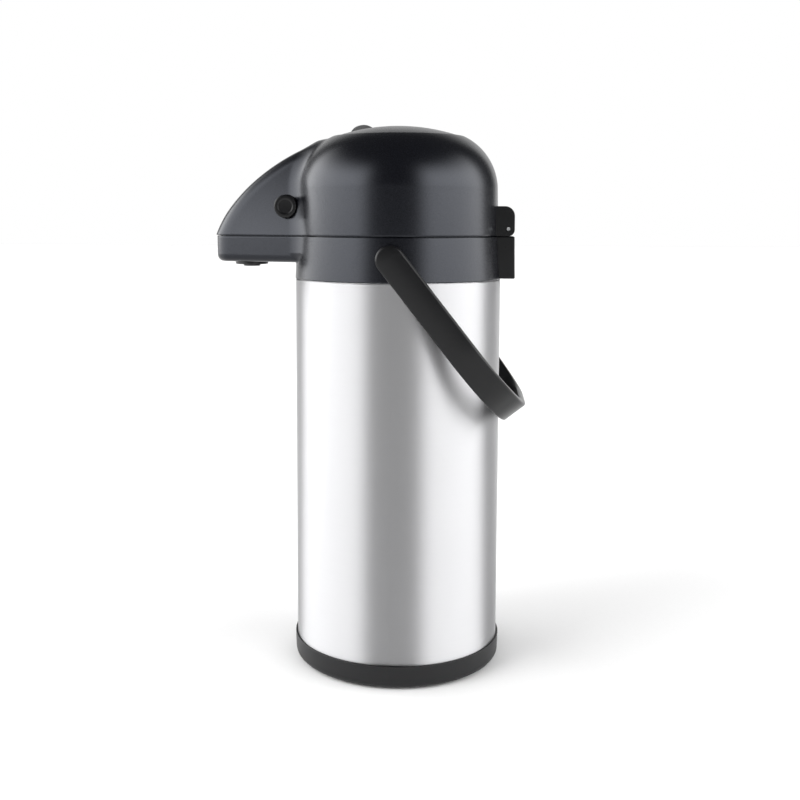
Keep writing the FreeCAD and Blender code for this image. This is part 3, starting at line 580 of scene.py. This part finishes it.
def ridge_field(size):
    """Signed distance to the beak's top line: a straight run and two arcs, from the lip to the tip."""
    back = np.array([size.lip_radius - size.ridge_inset, LIP_Z - size.ridge_sunk])
    tip = np.array([BEAK_REACH, LID_LOW.z])
    brow, chin = back + (tip - back) * BROW, back + (tip - back) * CHIN
    curl = np.linalg.norm(tip - chin)
    sweep = np.linalg.norm(chin - brow) - curl
    centre_1, radius_1, start_1 = bend(back, brow, chin, sweep)
    centre_2, radius_2, start_2 = bend(brow, chin, tip, curl)
    along = (brow - back) / np.linalg.norm(brow - back)
    turn = (chin - brow) / np.linalg.norm(chin - brow)

    def field(ahead, z):
        line = (ahead - back[0]) * -along[1] + (z - back[1]) * along[0]
        first = np.hypot(ahead - centre_1[0], z - centre_1[1]) - radius_1
        second = np.hypot(ahead - centre_2[0], z - centre_2[1]) - radius_2
        past_1 = (ahead - start_1[0]) * along[0] + (z - start_1[1]) * along[1] > 0
        past_2 = (ahead - start_2[0]) * turn[0] + (z - start_2[1]) * turn[1] > 0
        return np.where(past_2, second, np.where(past_1, first, line))

    return field


def lid_field(size):
    """The lid's outside: the dome and the beak's hood, with a hollow fillet between them."""
    ridge = ridge_field(size)
    shoulder_z = LID_LOW.z + size.wall_height
    shoulder_r = DOME_RADIUS - size.taper - size.shoulder
    nose_start, nose_end = 105 * MM, 132 * MM       # the edge's rounding grows between these

    def field(x, y, z):
        r = np.hypot(x, y)
        wall = r - DOME_RADIUS + size.taper * (z - LID_LOW.z) / size.wall_height
        dome = np.where(z > shoulder_z, np.hypot(r - shoulder_r, z - shoulder_z) - size.shoulder, wall)
        rise = (z - LID_LOW.z) / (LIP_Z - LID_LOW.z)
        width_share = 1 - (1 - size.beak_draft) * rise
        half = beak_half_width(size, -y, width_share) + size.overlap
        lean = half / width_share * (1 - size.beak_draft) / (LIP_Z - LID_LOW.z)
        side = (np.abs(x) - half) / np.sqrt(1 + (beak_slope(size) * width_share) ** 2 + lean ** 2)
        edge = size.ridge_edge + (size.nose_edge - size.ridge_edge) * smooth_step(-y, nose_start, nose_end)
        hood = rounded_both(side, ridge(-y, z), np.minimum(edge, 0.95 * np.maximum(half, MM)))
        hood = np.maximum(hood, y + BEAK_BACK)
        from_lip = smooth_step(r, size.lip_radius, size.lip_radius + size.fillet_fade)
        return rounded_either(dome, hood, size.least_fillet + size.fillet * from_lip)

    return field


def collar_field(size, lid_size):
    """The collar's outside: a tapered ring and the spout's tray."""
    tray_low = COLLAR_TOP - size.tray_depth
    fade_start, fade_end = tray_low + 1 * MM, tray_low + 7 * MM      # the fillet grows between these

    def field(x, y, z):
        r = np.hypot(x, y)
        rise = (z - COLLAR_LOW.z) / (COLLAR_TOP - COLLAR_LOW.z)
        band = r - (SHELL_HIGH.x + size.flare - size.taper * rise)
        side = (np.abs(x) - beak_half_width(lid_size, -y)) / math.hypot(1, beak_slope(lid_size))
        plan = rounded_both(side, -y - TRAY_REACH, lid_size.nose_edge)
        tray = rounded_both(plan, tray_low - z, size.tray_edge)
        tray = np.maximum(tray, y + BEAK_BACK)
        grown = smooth_step(z, fade_start, fade_end)
        return rounded_either(band, tray, size.under_fillet + (size.fillet - size.under_fillet) * grown)

    return field


def compass():
    """Angles round the axis from the spout, close together where the beak is."""
    fine, coarse, limit = 0.5, 2.0, 50      # degrees
    return np.radians(np.concatenate([np.arange(-limit, limit, fine), np.arange(limit, 360 - limit, coarse)]))


def traced(field, phi, origin, elevations):
    """Where rays from (radius, height) leave the solid, as arrays (rows, columns, xyz)."""
    e, p = np.meshgrid(elevations, phi, indexing="ij")
    near, far = np.zeros_like(e), np.full_like(e, 0.2)
    for _ in range(42):     # halvings, down to the precision of the numbers
        middle = (near + far) / 2
        r, z = origin[0] + middle * np.cos(e), origin[1] + middle * np.sin(e)
        inside = field(r * np.sin(p), -r * np.cos(p), z) < 0
        near, far = np.where(inside, middle, near), np.where(inside, far, middle)
    r, z = origin[0] + near * np.cos(e), origin[1] + near * np.sin(e)
    return np.stack([r * np.sin(p), -r * np.cos(p), z], -1)


def outward(field, points, step=0.02 * MM):
    """The field's direction of steepest rise at each point."""
    grown = []
    for axis in range(3):
        shift = np.zeros(3)
        shift[axis] = step
        past, before = points + shift, points - shift
        grown.append(field(*np.moveaxis(past, -1, 0)) - field(*np.moveaxis(before, -1, 0)))
    normal = np.stack(grown, -1)
    return normal / np.linalg.norm(normal, axis=-1, keepdims=True)


def respaced(points, count, start, stop=None):
    """Each column's points spread evenly by length, from start to stop (metres along the column)."""
    lengths = column_lengths(points)
    spaced = np.empty((count, points.shape[1], 3))
    for j in range(points.shape[1]):
        end = lengths[-1, j] if stop is None else stop[j]
        wanted = np.linspace(start, end, count)
        for axis in range(3):
            spaced[:, j, axis] = np.interp(wanted, lengths[:, j], points[:, j, axis])
    return spaced


def edge_rows(line, across, radius, height, up):
    """Rows that round a skin's first edge, at a height; up is 1 for a lower edge, -1 for an upper one."""
    rows = []
    for quarter in np.linspace(0, math.pi / 2, 5)[:-1]:
        row = line - across * radius * (1 - math.sin(quarter))
        row[:, 2] = height + up * radius * (1 - math.cos(quarter))
        rows.append(row)
    return rows


def inset_row(line, across, inset, height):
    """The line, moved inward and laid at a height, which may change along it."""
    row = line - across * inset
    row[:, 2] = height
    return row


def column_lengths(points):
    """Length along each column of points, starting at nought."""
    steps = np.linalg.norm(np.diff(points, axis=0), axis=-1)
    return np.concatenate([np.zeros((1, points.shape[1])), np.cumsum(steps, 0)])


def level(vectors):
    """The vectors laid level and made one long."""
    flat = vectors * (1, 1, 0)
    return flat / np.linalg.norm(flat, axis=-1, keepdims=True)


def at_radius(phi, radius, height):
    """A row of points at one radius; the height may change round the row."""
    return np.stack([radius * np.sin(phi), -radius * np.cos(phi), height + 0 * phi], -1)


# ---- Pieces -------------------------------------------------------------------------------------

class AIRPOT_OT_lid(bpy.types.Operator):
    """Builds the lid's skin: dome, beak hood, rim and button guide"""
    bl_idname = "airpot.lid"
    bl_label = "Lid"

    def execute(self, context):
        size = context.scene.airpot_lid
        field, phi = lid_field(size), compass()
        centre = (20 * MM, LID_LOW.z)
        lip = math.atan2(LIP_Z - centre[1], size.lip_radius - centre[0])
        dense = traced(field, phi, centre, np.linspace(0, lip, 420))
        skin = respaced(dense, 96, size.edge)
        foot = skin[0]
        across = level(outward(field, foot[None])[0])
        rows = edge_rows(foot, across, size.edge, LID_LOW.z, 1) + list(skin[:-1])
        guide_low = LIP_Z - size.guide_depth
        guide_out = size.guide_radius + size.guide_wall
        guide_top = guide_low + 20 * MM       # where the guide meets the dome's inside
        guide = rounded_line([
            (size.lip_radius, LIP_Z, 0), (size.guide_radius, LIP_Z, 0.9 * MM),
            (size.guide_radius, guide_low, 0.3 * MM), (guide_out, guide_low, 0.3 * MM),
            (guide_out, guide_top, 0)], 5)
        rows += [at_radius(phi, r, z) for r, z in guide]
        inner = dense - outward(field, dense) * size.wall
        radii, lengths = np.hypot(inner[..., 0], inner[..., 1]), column_lengths(inner)
        last = np.array([lengths[np.nonzero(radii[:, j] > guide_out)[0][-1], j] for j in range(len(phi))])
        rows += list(respaced(inner, 40, 1.5 * MM, last)[::-1])
        lip_out = size.wall + size.lip_gap
        lip_in = lip_out + size.lip_wall
        for inset, rise in ((size.wall, MM), (lip_in, MM), (lip_in, -size.lip_drop),
                            (lip_out, -size.lip_drop), (lip_out, 0)):
            rows.append(inset_row(foot, across, inset, LID_LOW.z + rise))
        piece = make_piece("lid_skin", np.concatenate(rows), grid_faces(len(rows), len(phi), True, True),
                           "charcoal", "lid", ["lid_shell"])
        knob = (KNOB_LOW + KNOB_HIGH) / 2
        bore = context.scene.airpot_knobs.radius + size.knob_gap
        far = 50 * MM
        cut(piece, drill(bore, (-far, knob.y, knob.z), (far, knob.y, knob.z)), self.tab_slot(size))
        return {"FINISHED"}

    def tab_slot(self, size):
        """The curved slot that the lock's thumb tab slides in."""
        inner = size.guide_radius + size.guide_wall + 0.3 * MM
        outer, above = inner + size.slot_width, LIP_Z + 10 * MM
        turns = np.linspace(size.slot_start, size.slot_end, 24)
        points = [(r * math.cos(a), r * math.sin(a), z) for a in turns
                  for r, z in ((inner, RING_LOW.z), (outer, RING_LOW.z), (outer, above), (inner, above))]
        faces = grid_faces(len(turns), 4, wrap_columns=True)
        faces += [(0, 1, 2, 3), tuple(len(points) - k for k in (1, 2, 3, 4))]
        return make_piece("slot", points, faces, "charcoal", None)


class AIRPOT_OT_collar(bpy.types.Operator):
    """Builds the collar's skin: ring, spout tray, deck and pivot pads"""
    bl_idname = "airpot.collar"
    bl_label = "Collar"

    def execute(self, context):
        size, lid_size = context.scene.airpot_collar, context.scene.airpot_lid
        field, phi = collar_field(size, lid_size), compass()
        centre = (55 * MM, COLLAR_TOP)
        foot_r = SHELL_HIGH.x + size.flare
        down = math.atan2(COLLAR_TOP - COLLAR_LOW.z, foot_r - centre[0])
        skin = respaced(traced(field, phi, centre, np.linspace(0, -down, 460)), 90, size.edge)
        head = skin[0]
        across = level(outward(field, head[None])[0])
        rows = edge_rows(head, across, size.edge, COLLAR_TOP, -1) + list(skin[:-1])
        deck_low = COLLAR_LOW.z + size.deck_height
        deck_top = deck_low + size.deck_wall
        deck_end, floor_start = 68.5 * MM, 69.3 * MM
        inside = rounded_line([
            (foot_r, COLLAR_LOW.z + 0.5 * MM, 0), (foot_r - 0.02 * MM, COLLAR_LOW.z, 0.4 * MM),
            (size.skirt_inner, COLLAR_LOW.z, 0.3 * MM), (size.skirt_inner, deck_low, 0.6 * MM),
            (size.neck_bore + 4 * MM, deck_low, 0), (size.neck_bore, deck_low + 2 * MM, 0),
            (size.neck_bore, deck_top, 0.3 * MM), (deck_end, deck_top, 0)], 3)
        rows += [at_radius(phi, r, z) for r, z in inside]
        edge = head - across * size.wall
        reach = np.hypot(edge[:, 0], edge[:, 1])
        floor = deck_top + 3 * MM * smooth_step(reach, 71.5 * MM, 76 * MM)  # the tray's floor lies higher
        rows.append(at_radius(phi, floor_start, floor))
        rows += [inset_row(edge, across, inset * MM, floor + rise * MM)
                 for inset, rise in ((1.5, 0), (0.45, 0.45), (0, 1.5))]
        rows += [inset_row(edge, across, inset * MM, COLLAR_TOP - drop * MM)
                 for inset, drop in ((0, 0.35), (-0.35, 0))]
        piece = make_piece("collar_skin", np.concatenate(rows), grid_faces(len(rows), len(phi), True, True),
                           "charcoal", "flask", ["collar"])
        nozzle = (NOZZLE_LOW + NOZZLE_HIGH) / 2
        nozzle_bore = (NOZZLE_HIGH.x - NOZZLE_LOW.x) / 2 + size.bore_play
        bush_bore = (BUSH_HIGH.z - BUSH_LOW.z) / 2 + size.bore_play
        tools = [drill(nozzle_bore, (0, nozzle.y, 280 * MM), (0, nozzle.y, 300.5 * MM))]
        tools += [drill(bush_bore, (side * 60 * MM, 0, PIVOT_Z), (side * (BUSH_HIGH.x + 10 * MM), 0, PIVOT_Z))
                  for side in (-1, 1)]
        cut(piece, *tools)
        for side, name in ((1, "pivot_pad_right"), (-1, "pivot_pad_left")):
            pad = rounded_line([
                (bush_bore, size.pad_root, 0), (size.pad_radius, size.pad_root, 0),
                (size.pad_radius, BUSH_HIGH.x, 0.35 * MM), (bush_bore, BUSH_HIGH.x, 0.2 * MM),
                (bush_bore, size.pad_root + 0.5 * MM, 0)], 4)
            lathe(name, [(r, side * h) for r, h in pad], "charcoal", "flask", along="X",
                  centre=(0, 0, PIVOT_Z))
        return {"FINISHED"}


class AIRPOT_OT_hinge(bpy.types.Operator):
    """Builds the hinge: the lid's cover block, the collar's foot block and the knuckle between them"""
    bl_idname = "airpot.hinge"
    bl_label = "Hinge"

    def execute(self, context):
        size = context.scene.airpot_hinge
        back, top = LID_HIGH.y, LID_LOW.z + size.cover_height
        cover = rounded_line([
            (size.root, top, 0), (back, top, size.cover_corner), (back, LID_LOW.z, size.knuckle_radius),
            (size.root, LID_LOW.z, 0)], 8)
        radius = size.knuckle_radius + 2 * size.play
        below, behind = LID_LOW.z - 2 * MM, back + 3 * MM
        pocket = [(size.pocket_root, below), (behind, below), (behind, PIN.z)]
        pocket += self.around_pin(radius, 0, 90, 12) + [(size.pocket_root, PIN.z + radius)]
        block = side_block("hinge_cover", cover, size.half_width, "black", "lid")
        tool = side_block("pocket", pocket, size.knuckle_half + size.play, "black", None)
        far = 2 * size.half_width
        cut(block, tool, drill(size.pin_bore, (-far, PIN.y, PIN.z), (far, PIN.y, PIN.z), 32))
        block.data.polygons.foreach_set("use_smooth", [True] * len(block.data.polygons))
        add_bevel(block, size.bevel)
        low, high = COLLAR_LOW.z + size.foot_rise, LID_LOW.z - size.foot_gap
        foot = [(size.root, low), (COLLAR_HIGH.y, low), (back, high), (size.root, high)]
        block = side_block("hinge_foot", foot, size.half_width, "black", "flask")
        add_bevel(block, size.bevel)
        stem = COLLAR_TOP - 2 * MM
        past_upright = math.radians(5)      # the open lid leans back this far, and the stem clears it
        heel = PIN.y - size.play - (PIN.z - stem) * math.tan(past_upright)
        knuckle = [(PIN.y - size.knuckle_radius, stem), (heel, stem)]
        knuckle += self.around_pin(size.knuckle_radius, -88, 180, 28)
        piece = side_block("hinge_knuckle", knuckle, size.knuckle_half, "black", "flask")
        add_bevel(piece, size.knuckle_bevel)
        return {"FINISHED"}

    def around_pin(self, radius, start, end, count):
        """Points (y, z) on a circle about the pin, between two angles in degrees."""
        turns = np.radians(np.linspace(start, end, count))
        return [(PIN.y + radius * math.cos(a), PIN.z + radius * math.sin(a)) for a in turns]


class AIRPOT_OT_button(bpy.types.Operator):
    """Builds the push button: a shallow crown with a soft rim, its skirt and its stop"""
    bl_idname = "airpot.button"
    bl_label = "Push button"

    def execute(self, context):
        size = context.scene.airpot_button
        rim = BUTTON_HIGH.z - size.rise
        crown = self.crown(size.radius, rim, size.rise, np.linspace(0, size.radius - size.edge_width, 40))
        edge = crown[-1][1] - 0.35 * MM
        stop_low, stop_top = BUTTON_LOW.z, BUTTON_LOW.z + size.stop_height
        inner, ceiling = size.radius - size.wall, rim - size.wall + size.crown_wall
        wall = rounded_line([
            (*crown[-1], 0), (size.radius, edge, size.edge), (size.radius, stop_top, 0.2 * MM),
            (BUTTON_HIGH.x, stop_top, size.corner), (BUTTON_HIGH.x, stop_low, size.corner),
            (inner, stop_low, size.corner), (inner, ceiling, 1.5 * MM)], 5)
        under = self.crown(inner, ceiling, size.rise - size.crown_wall, np.linspace(inner, 0, 24))
        lathe("button_cap", crown + wall[1:] + under[1:], "charcoal", "button",
              ["push_button"], around=192)
        return {"FINISHED"}

    def crown(self, radius, low, rise, places):
        """Points (r, z) on a shallow ball's cap that is rise high over its edge, at the given radii."""
        ball = (radius ** 2 + rise ** 2) / (2 * rise)
        return [(r, low + rise - ball + math.sqrt(ball ** 2 - r ** 2)) for r in places]


class AIRPOT_OT_handle(bpy.types.Operator):
    """Builds the bail handle: a bent strap with rounded ends and two pivot stubs"""
    bl_idname = "airpot.handle"
    bl_label = "Handle"

    def execute(self, context):
        size = context.scene.airpot_handle
        half, outer = size.width / 2, HANDLE_HIGH.x
        edge, thick = size.edge, size.thickness
        reach = (HANDLE_HIGH.y - half * math.sin(size.drop)) / math.cos(size.drop)      # to the grip's outside
        shoulder, grip = reach - size.shoulder, outer - size.slant
        path = np.array(self.with_runs(rounded_line([
            (outer, 0, 0), (outer, shoulder, size.corner), (grip, reach, size.corner),
            (-grip, reach, size.corner), (-outer, shoulder, size.corner), (-outer, 0, 0)], 18)))
        ahead = np.gradient(path, axis=0)
        ahead /= np.linalg.norm(ahead, axis=1, keepdims=True)
        inward = np.stack([-ahead[:, 1], ahead[:, 0]], -1)
        section = [(edge * (1 - math.sin(a)), edge * (1 - math.cos(a))) for a in np.linspace(0, math.pi / 2, 5)]
        section += [(inset, thick - depth) for inset, depth in section[::-1]]
        half_turn = np.linspace(0, math.pi, 25)[1:-1]
        rows = []
        for inset, depth in section:
            spread, side = half - inset, path + inward * depth
            ends = [[(*(side[k] + way * ahead[k] * spread * math.sin(a)), way * spread * math.cos(a))
                     for a in half_turn] for k, way in ((-1, 1), (0, -1))]
            rows.append([(*p, spread) for p in side] + ends[0] + [(*p, -spread) for p in side[::-1]] + ends[1])
        n, m, columns = len(path), len(half_turn), len(rows[0])
        faces = grid_faces(len(rows), columns, wrap_columns=True)
        for first in (0, (len(rows) - 1) * columns):        # the flat sides: the strap, then its two round ends
            back, last = first + 2 * n + m, first + columns - 1
            faces += [(first + i, first + i + 1, back - 2 - i, back - 1 - i) for i in range(n - 1)]
            for ring in ([*range(first + n - 1, first + n + m + 1)],
                         [first, *range(last, back - 1, -1), back - 1]):
                faces += [(ring[k], ring[k + 1], ring[m - k], ring[m + 1 - k]) for k in range((m + 1) // 2)]
        place = Matrix.Translation((0, 0, PIVOT_Z)) @ Matrix.Rotation(-size.drop, 4, "X")
        points = [place @ Vector(p) for row in rows for p in row]
        make_piece("bail_strap", points, faces, "black", "bail", ["handle"])
        for side, name in ((1, "bail_stub_right"), (-1, "bail_stub_left")):
            inner, in_strap = outer - thick - size.stub_length, outer - thick + 0.5 * MM
            stub = rounded_line([
                (0, inner, 0), (size.stub_radius, inner, 0.6 * MM), (size.stub_radius, in_strap, 0),
                (0, in_strap, 0)], 4)
            lathe(name, [(r, side * h) for r, h in stub], "black", "bail", around=64, along="X",
                  centre=(0, 0, PIVOT_Z))
        return {"FINISHED"}

    def with_runs(self, line):
        """Adds points along the straight runs, so that the strap's quads stay short."""
        points, step = [line[0]], 6 * MM
        for p in line[1:]:
            gap = (p - points[-1]).length
            count = int(gap / step) if gap > 2 * step else 0
            for k in range(count):
                points.append(points[-1].lerp(p, 1 / (count + 1 - k)))
            points.append(p)
        return points


class AIRPOT_OT_knobs(bpy.types.Operator):
    """Builds the two release knobs: flat caps with a soft rim, their flanges and stems"""
    bl_idname = "airpot.knobs"
    bl_label = "Release knobs"

    def execute(self, context):
        size = context.scene.airpot_knobs
        hook_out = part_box("latch_hook_right")[1].x
        flange_out, rim = hook_out + size.flange, size.radius - size.rim
        face_edge = 0.35 * MM       # depth at the foot of the rim; the face falls to its full dish
        for side, name in ((1, "release_knob_right"), (-1, "release_knob_left")):
            low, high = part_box(name)
            middle = (low + high) / 2
            face, stem = (high.x, low.x) if side > 0 else (-low.x, -high.x)
            flange = (high.z - low.z) / 2
            profile = [(0, stem), (size.stem, stem), (size.stem, hook_out), (flange, hook_out),
                       (flange, flange_out), (size.radius, flange_out)]
            profile += rounded_line([
                (size.radius, flange_out + 0.5 * MM, 0), (size.radius, face, size.edge), (rim, face, size.soft),
                (rim - size.soft, face - face_edge, size.soft), (0, face - size.dish, 0)], 6)
            lathe(name.replace("release_", "") + "_cap", [(r, side * h) for r, h in profile], "black",
                  "right_release" if side > 0 else "left_release", [name], along="X",
                  centre=(0, middle.y, middle.z))
        return {"FINISHED"}


class AIRPOT_OT_finish_frame(bpy.types.Operator):
    """Gives every CAD part that stays on show its finish"""
    bl_idname = "airpot.finish_frame"
    bl_label = "Frame finishes"

    looks = {
        "base": ["base_ring", "lid_plate"],
        "rubber": ["foot_ring"],
        "screw_steel": ["base_screws", "base_nuts", "lid_screws", "hinge_pin"],
        "shell_steel": ["outer_shell"],
        "flask_steel": ["shell_cap", "inner_liner", "getter_cup"],
        "black": ["pivot_bushes", "outlet_nozzle", "nozzle_ring", "lock_ring", "lock_tab", "latch_hook_right",
                  "latch_hook_left", "handle", "release_knob_right", "release_knob_left"],
        "charcoal": ["collar", "lid_shell", "push_button"],
        "natural": ["neck_nut", "stopper", "pickup_tube", "siphon_head", "discharge_pipe", "pump_plate",
                    "bellows_clamp"],
        "silicone": ["neck_gasket", "air_seal", "intake_valve"],
        "bellows": ["bellows"],
        "spring_wire": ["return_spring", "release_spring"],
    }

    def execute(self, context):
        for look, nodes in self.looks.items():
            for name in nodes:
                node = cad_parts[name]
                node.data.materials.clear()
                node.data.materials.append(finish(look))
        return {"FINISHED"}


# Brightness of the studio's walls by angle from the camera, positive to its right
WALL_LIGHT = [
    (-180, 0.9), (-154, 0.9), (-146, 0.1), (-136, 0.1), (-126, 4.6), (-44, 4.6), (-30, 0.05), (0, 0.02),
    (20, 0.05), (36, 4.6), (104, 4.6), (116, 0.1), (142, 0.05), (150, 1.2), (165, 0.9), (180, 0.9)]
CEILING_LIGHT, CEILING_SHINE = 0.9, 0.08     # as a lamp, and as seen in a gloss
CEILING_START, CEILING_END = 0.35, 0.8       # sines of the elevations between which it fades in
SUN_DIRECTION = (-258, 375, -393)


class AIRPOT_OT_stage(bpy.types.Operator):
    """Sets up the pale floor, the soft lights and the camera"""
    bl_idname = "airpot.stage"
    bl_label = "Stage"

    def execute(self, context):
        studio = context.scene.airpot_studio
        self.floor(studio)
        self.sun(studio)
        self.world(context.scene, studio)
        self.camera(context.scene, studio)
        context.scene.view_settings.view_transform = "Standard"
        return {"FINISHED"}

    def floor(self, studio):
        f = Finish("floor_paper")
        grain = f.noise(f.stretched(1, 1, 1), scale=300)
        f.surface(Base_Color=f.tinted(grain, (0.73, 0.73, 0.73), (0.75, 0.75, 0.75)), Roughness=0.9,
                  Specular_IOR_Level=0.1)
        mesh = bpy.data.meshes.new("floor")
        s = studio.floor_size
        mesh.from_pydata([(-s, -s, 0), (s, -s, 0), (s, s, 0), (-s, s, 0)], [], [(0, 1, 2, 3)])
        mesh.materials.append(f.material)
        floor = bpy.data.objects.new("floor", mesh)
        bpy.context.scene.collection.objects.link(floor)

    def sun(self, studio):
        sun = bpy.data.lights.new("key", "SUN")
        sun.energy, sun.angle = studio.sun, studio.sun_angle
        key = bpy.data.objects.new("key", sun)
        key.rotation_mode = "QUATERNION"
        key.visible_glossy = False
        key.rotation_quaternion = Vector(SUN_DIRECTION).to_track_quat("-Z", "Y")
        bpy.context.scene.collection.objects.link(key)

    def world(self, scene, studio):
        """White to the camera. To everything else, a studio with a soft wall on each side."""
        world = bpy.data.worlds.new("studio")
        world.use_nodes = True
        f = Finish.of_world(world)
        view = f.node("ShaderNodeTexCoord", output=0)
        toward = (math.sin(studio.sideways), -math.cos(studio.sideways), 0)
        right = (-toward[1], toward[0], 0)
        ahead, across, up = [
            f.node("ShaderNodeVectorMath", {"operation": "DOT_PRODUCT"}, {0: view, 1: way}, output=1)
            for way in (toward, right, (0, 0, 1))]
        turn = f.math("ARCTAN2", across, ahead) * (0.5 / math.pi) + 0.5
        walls = f.ramp(turn, [(degrees / 360 + 0.5, light) for degrees, light in WALL_LIGHT])
        ceiling = f.node("ShaderNodeMapRange", {"interpolation_type": "SMOOTHSTEP"}, {
            "Value": up, "From Min": CEILING_START, "From Max": CEILING_END})
        shine = f.node("ShaderNodeLightPath", output=3)
        light = walls * (1 - ceiling) + ceiling * f.between(shine, CEILING_LIGHT, CEILING_SHINE)
        seen = f.node("ShaderNodeLightPath", output=0)
        strength = light * (1 - seen) + seen
        background = f.node("ShaderNodeBackground", None, {"Color": (1, 1, 1, 1), "Strength": strength})
        f.node("ShaderNodeOutputWorld", None, {"Surface": background})
        scene.world = world

    def camera(self, scene, studio):
        data = bpy.data.cameras.new("camera")
        data.lens, data.sensor_width, data.sensor_fit = studio.lens, 36, "HORIZONTAL"
        data.shift_x, data.shift_y = studio.shift_x, studio.shift_y
        camera = bpy.data.objects.new("camera", data)
        a, d = studio.sideways, studio.distance
        camera.location = (d * math.sin(a), -d * math.cos(a), studio.height)
        level_ahead = Matrix.Rotation(studio.pan, 3, "Z") @ Vector((-math.sin(a), math.cos(a), 0))
        ahead = level_ahead * math.cos(studio.pitch) - Vector((0, 0, math.sin(studio.pitch)))
        roll = Matrix.Rotation(studio.roll, 3, "Z").to_quaternion()
        camera.rotation_mode = "QUATERNION"
        camera.rotation_quaternion = ahead.to_track_quat("-Z", "Y") @ roll
        scene.collection.objects.link(camera)
        scene.camera = camera


class AIRPOT_PT_panel(bpy.types.Panel):
    """Lists the airpot's build steps in the sidebar"""
    bl_idname = "AIRPOT_PT_panel"
    bl_label = "Coffee Airpot"
    bl_space_type = "VIEW_3D"
    bl_region_type = "UI"
    bl_category = "Airpot"

    def draw(self, context):
        for operator in OPERATORS:
            self.layout.operator(operator.bl_idname)


OPERATORS = [AIRPOT_OT_finish_frame, AIRPOT_OT_lid, AIRPOT_OT_collar, AIRPOT_OT_hinge, AIRPOT_OT_button,
             AIRPOT_OT_handle, AIRPOT_OT_knobs, AIRPOT_OT_stage]
SETTINGS = {"airpot_lid": LidSizes, "airpot_collar": CollarSizes, "airpot_hinge": HingeSizes,
            "airpot_button": ButtonSizes, "airpot_handle": HandleSizes, "airpot_knobs": KnobSizes,
            "airpot_finishes": Finishes, "airpot_studio": Studio}


def register():
    for kind in [*SETTINGS.values(), *OPERATORS, AIRPOT_PT_panel]:
        bpy.utils.register_class(kind)
    for name, kind in SETTINGS.items():
        setattr(bpy.types.Scene, name, PointerProperty(type=kind))


def unregister():
    for name in SETTINGS:
        delattr(bpy.types.Scene, name)
    for kind in [AIRPOT_PT_panel, *OPERATORS[::-1], *SETTINGS.values()]:
        bpy.utils.unregister_class(kind)


def main():
    register()
    for operator in OPERATORS:
        group, action = operator.bl_idname.split(".")
        getattr(getattr(bpy.ops, group), action)()


if __name__ == "__main__":
    main()
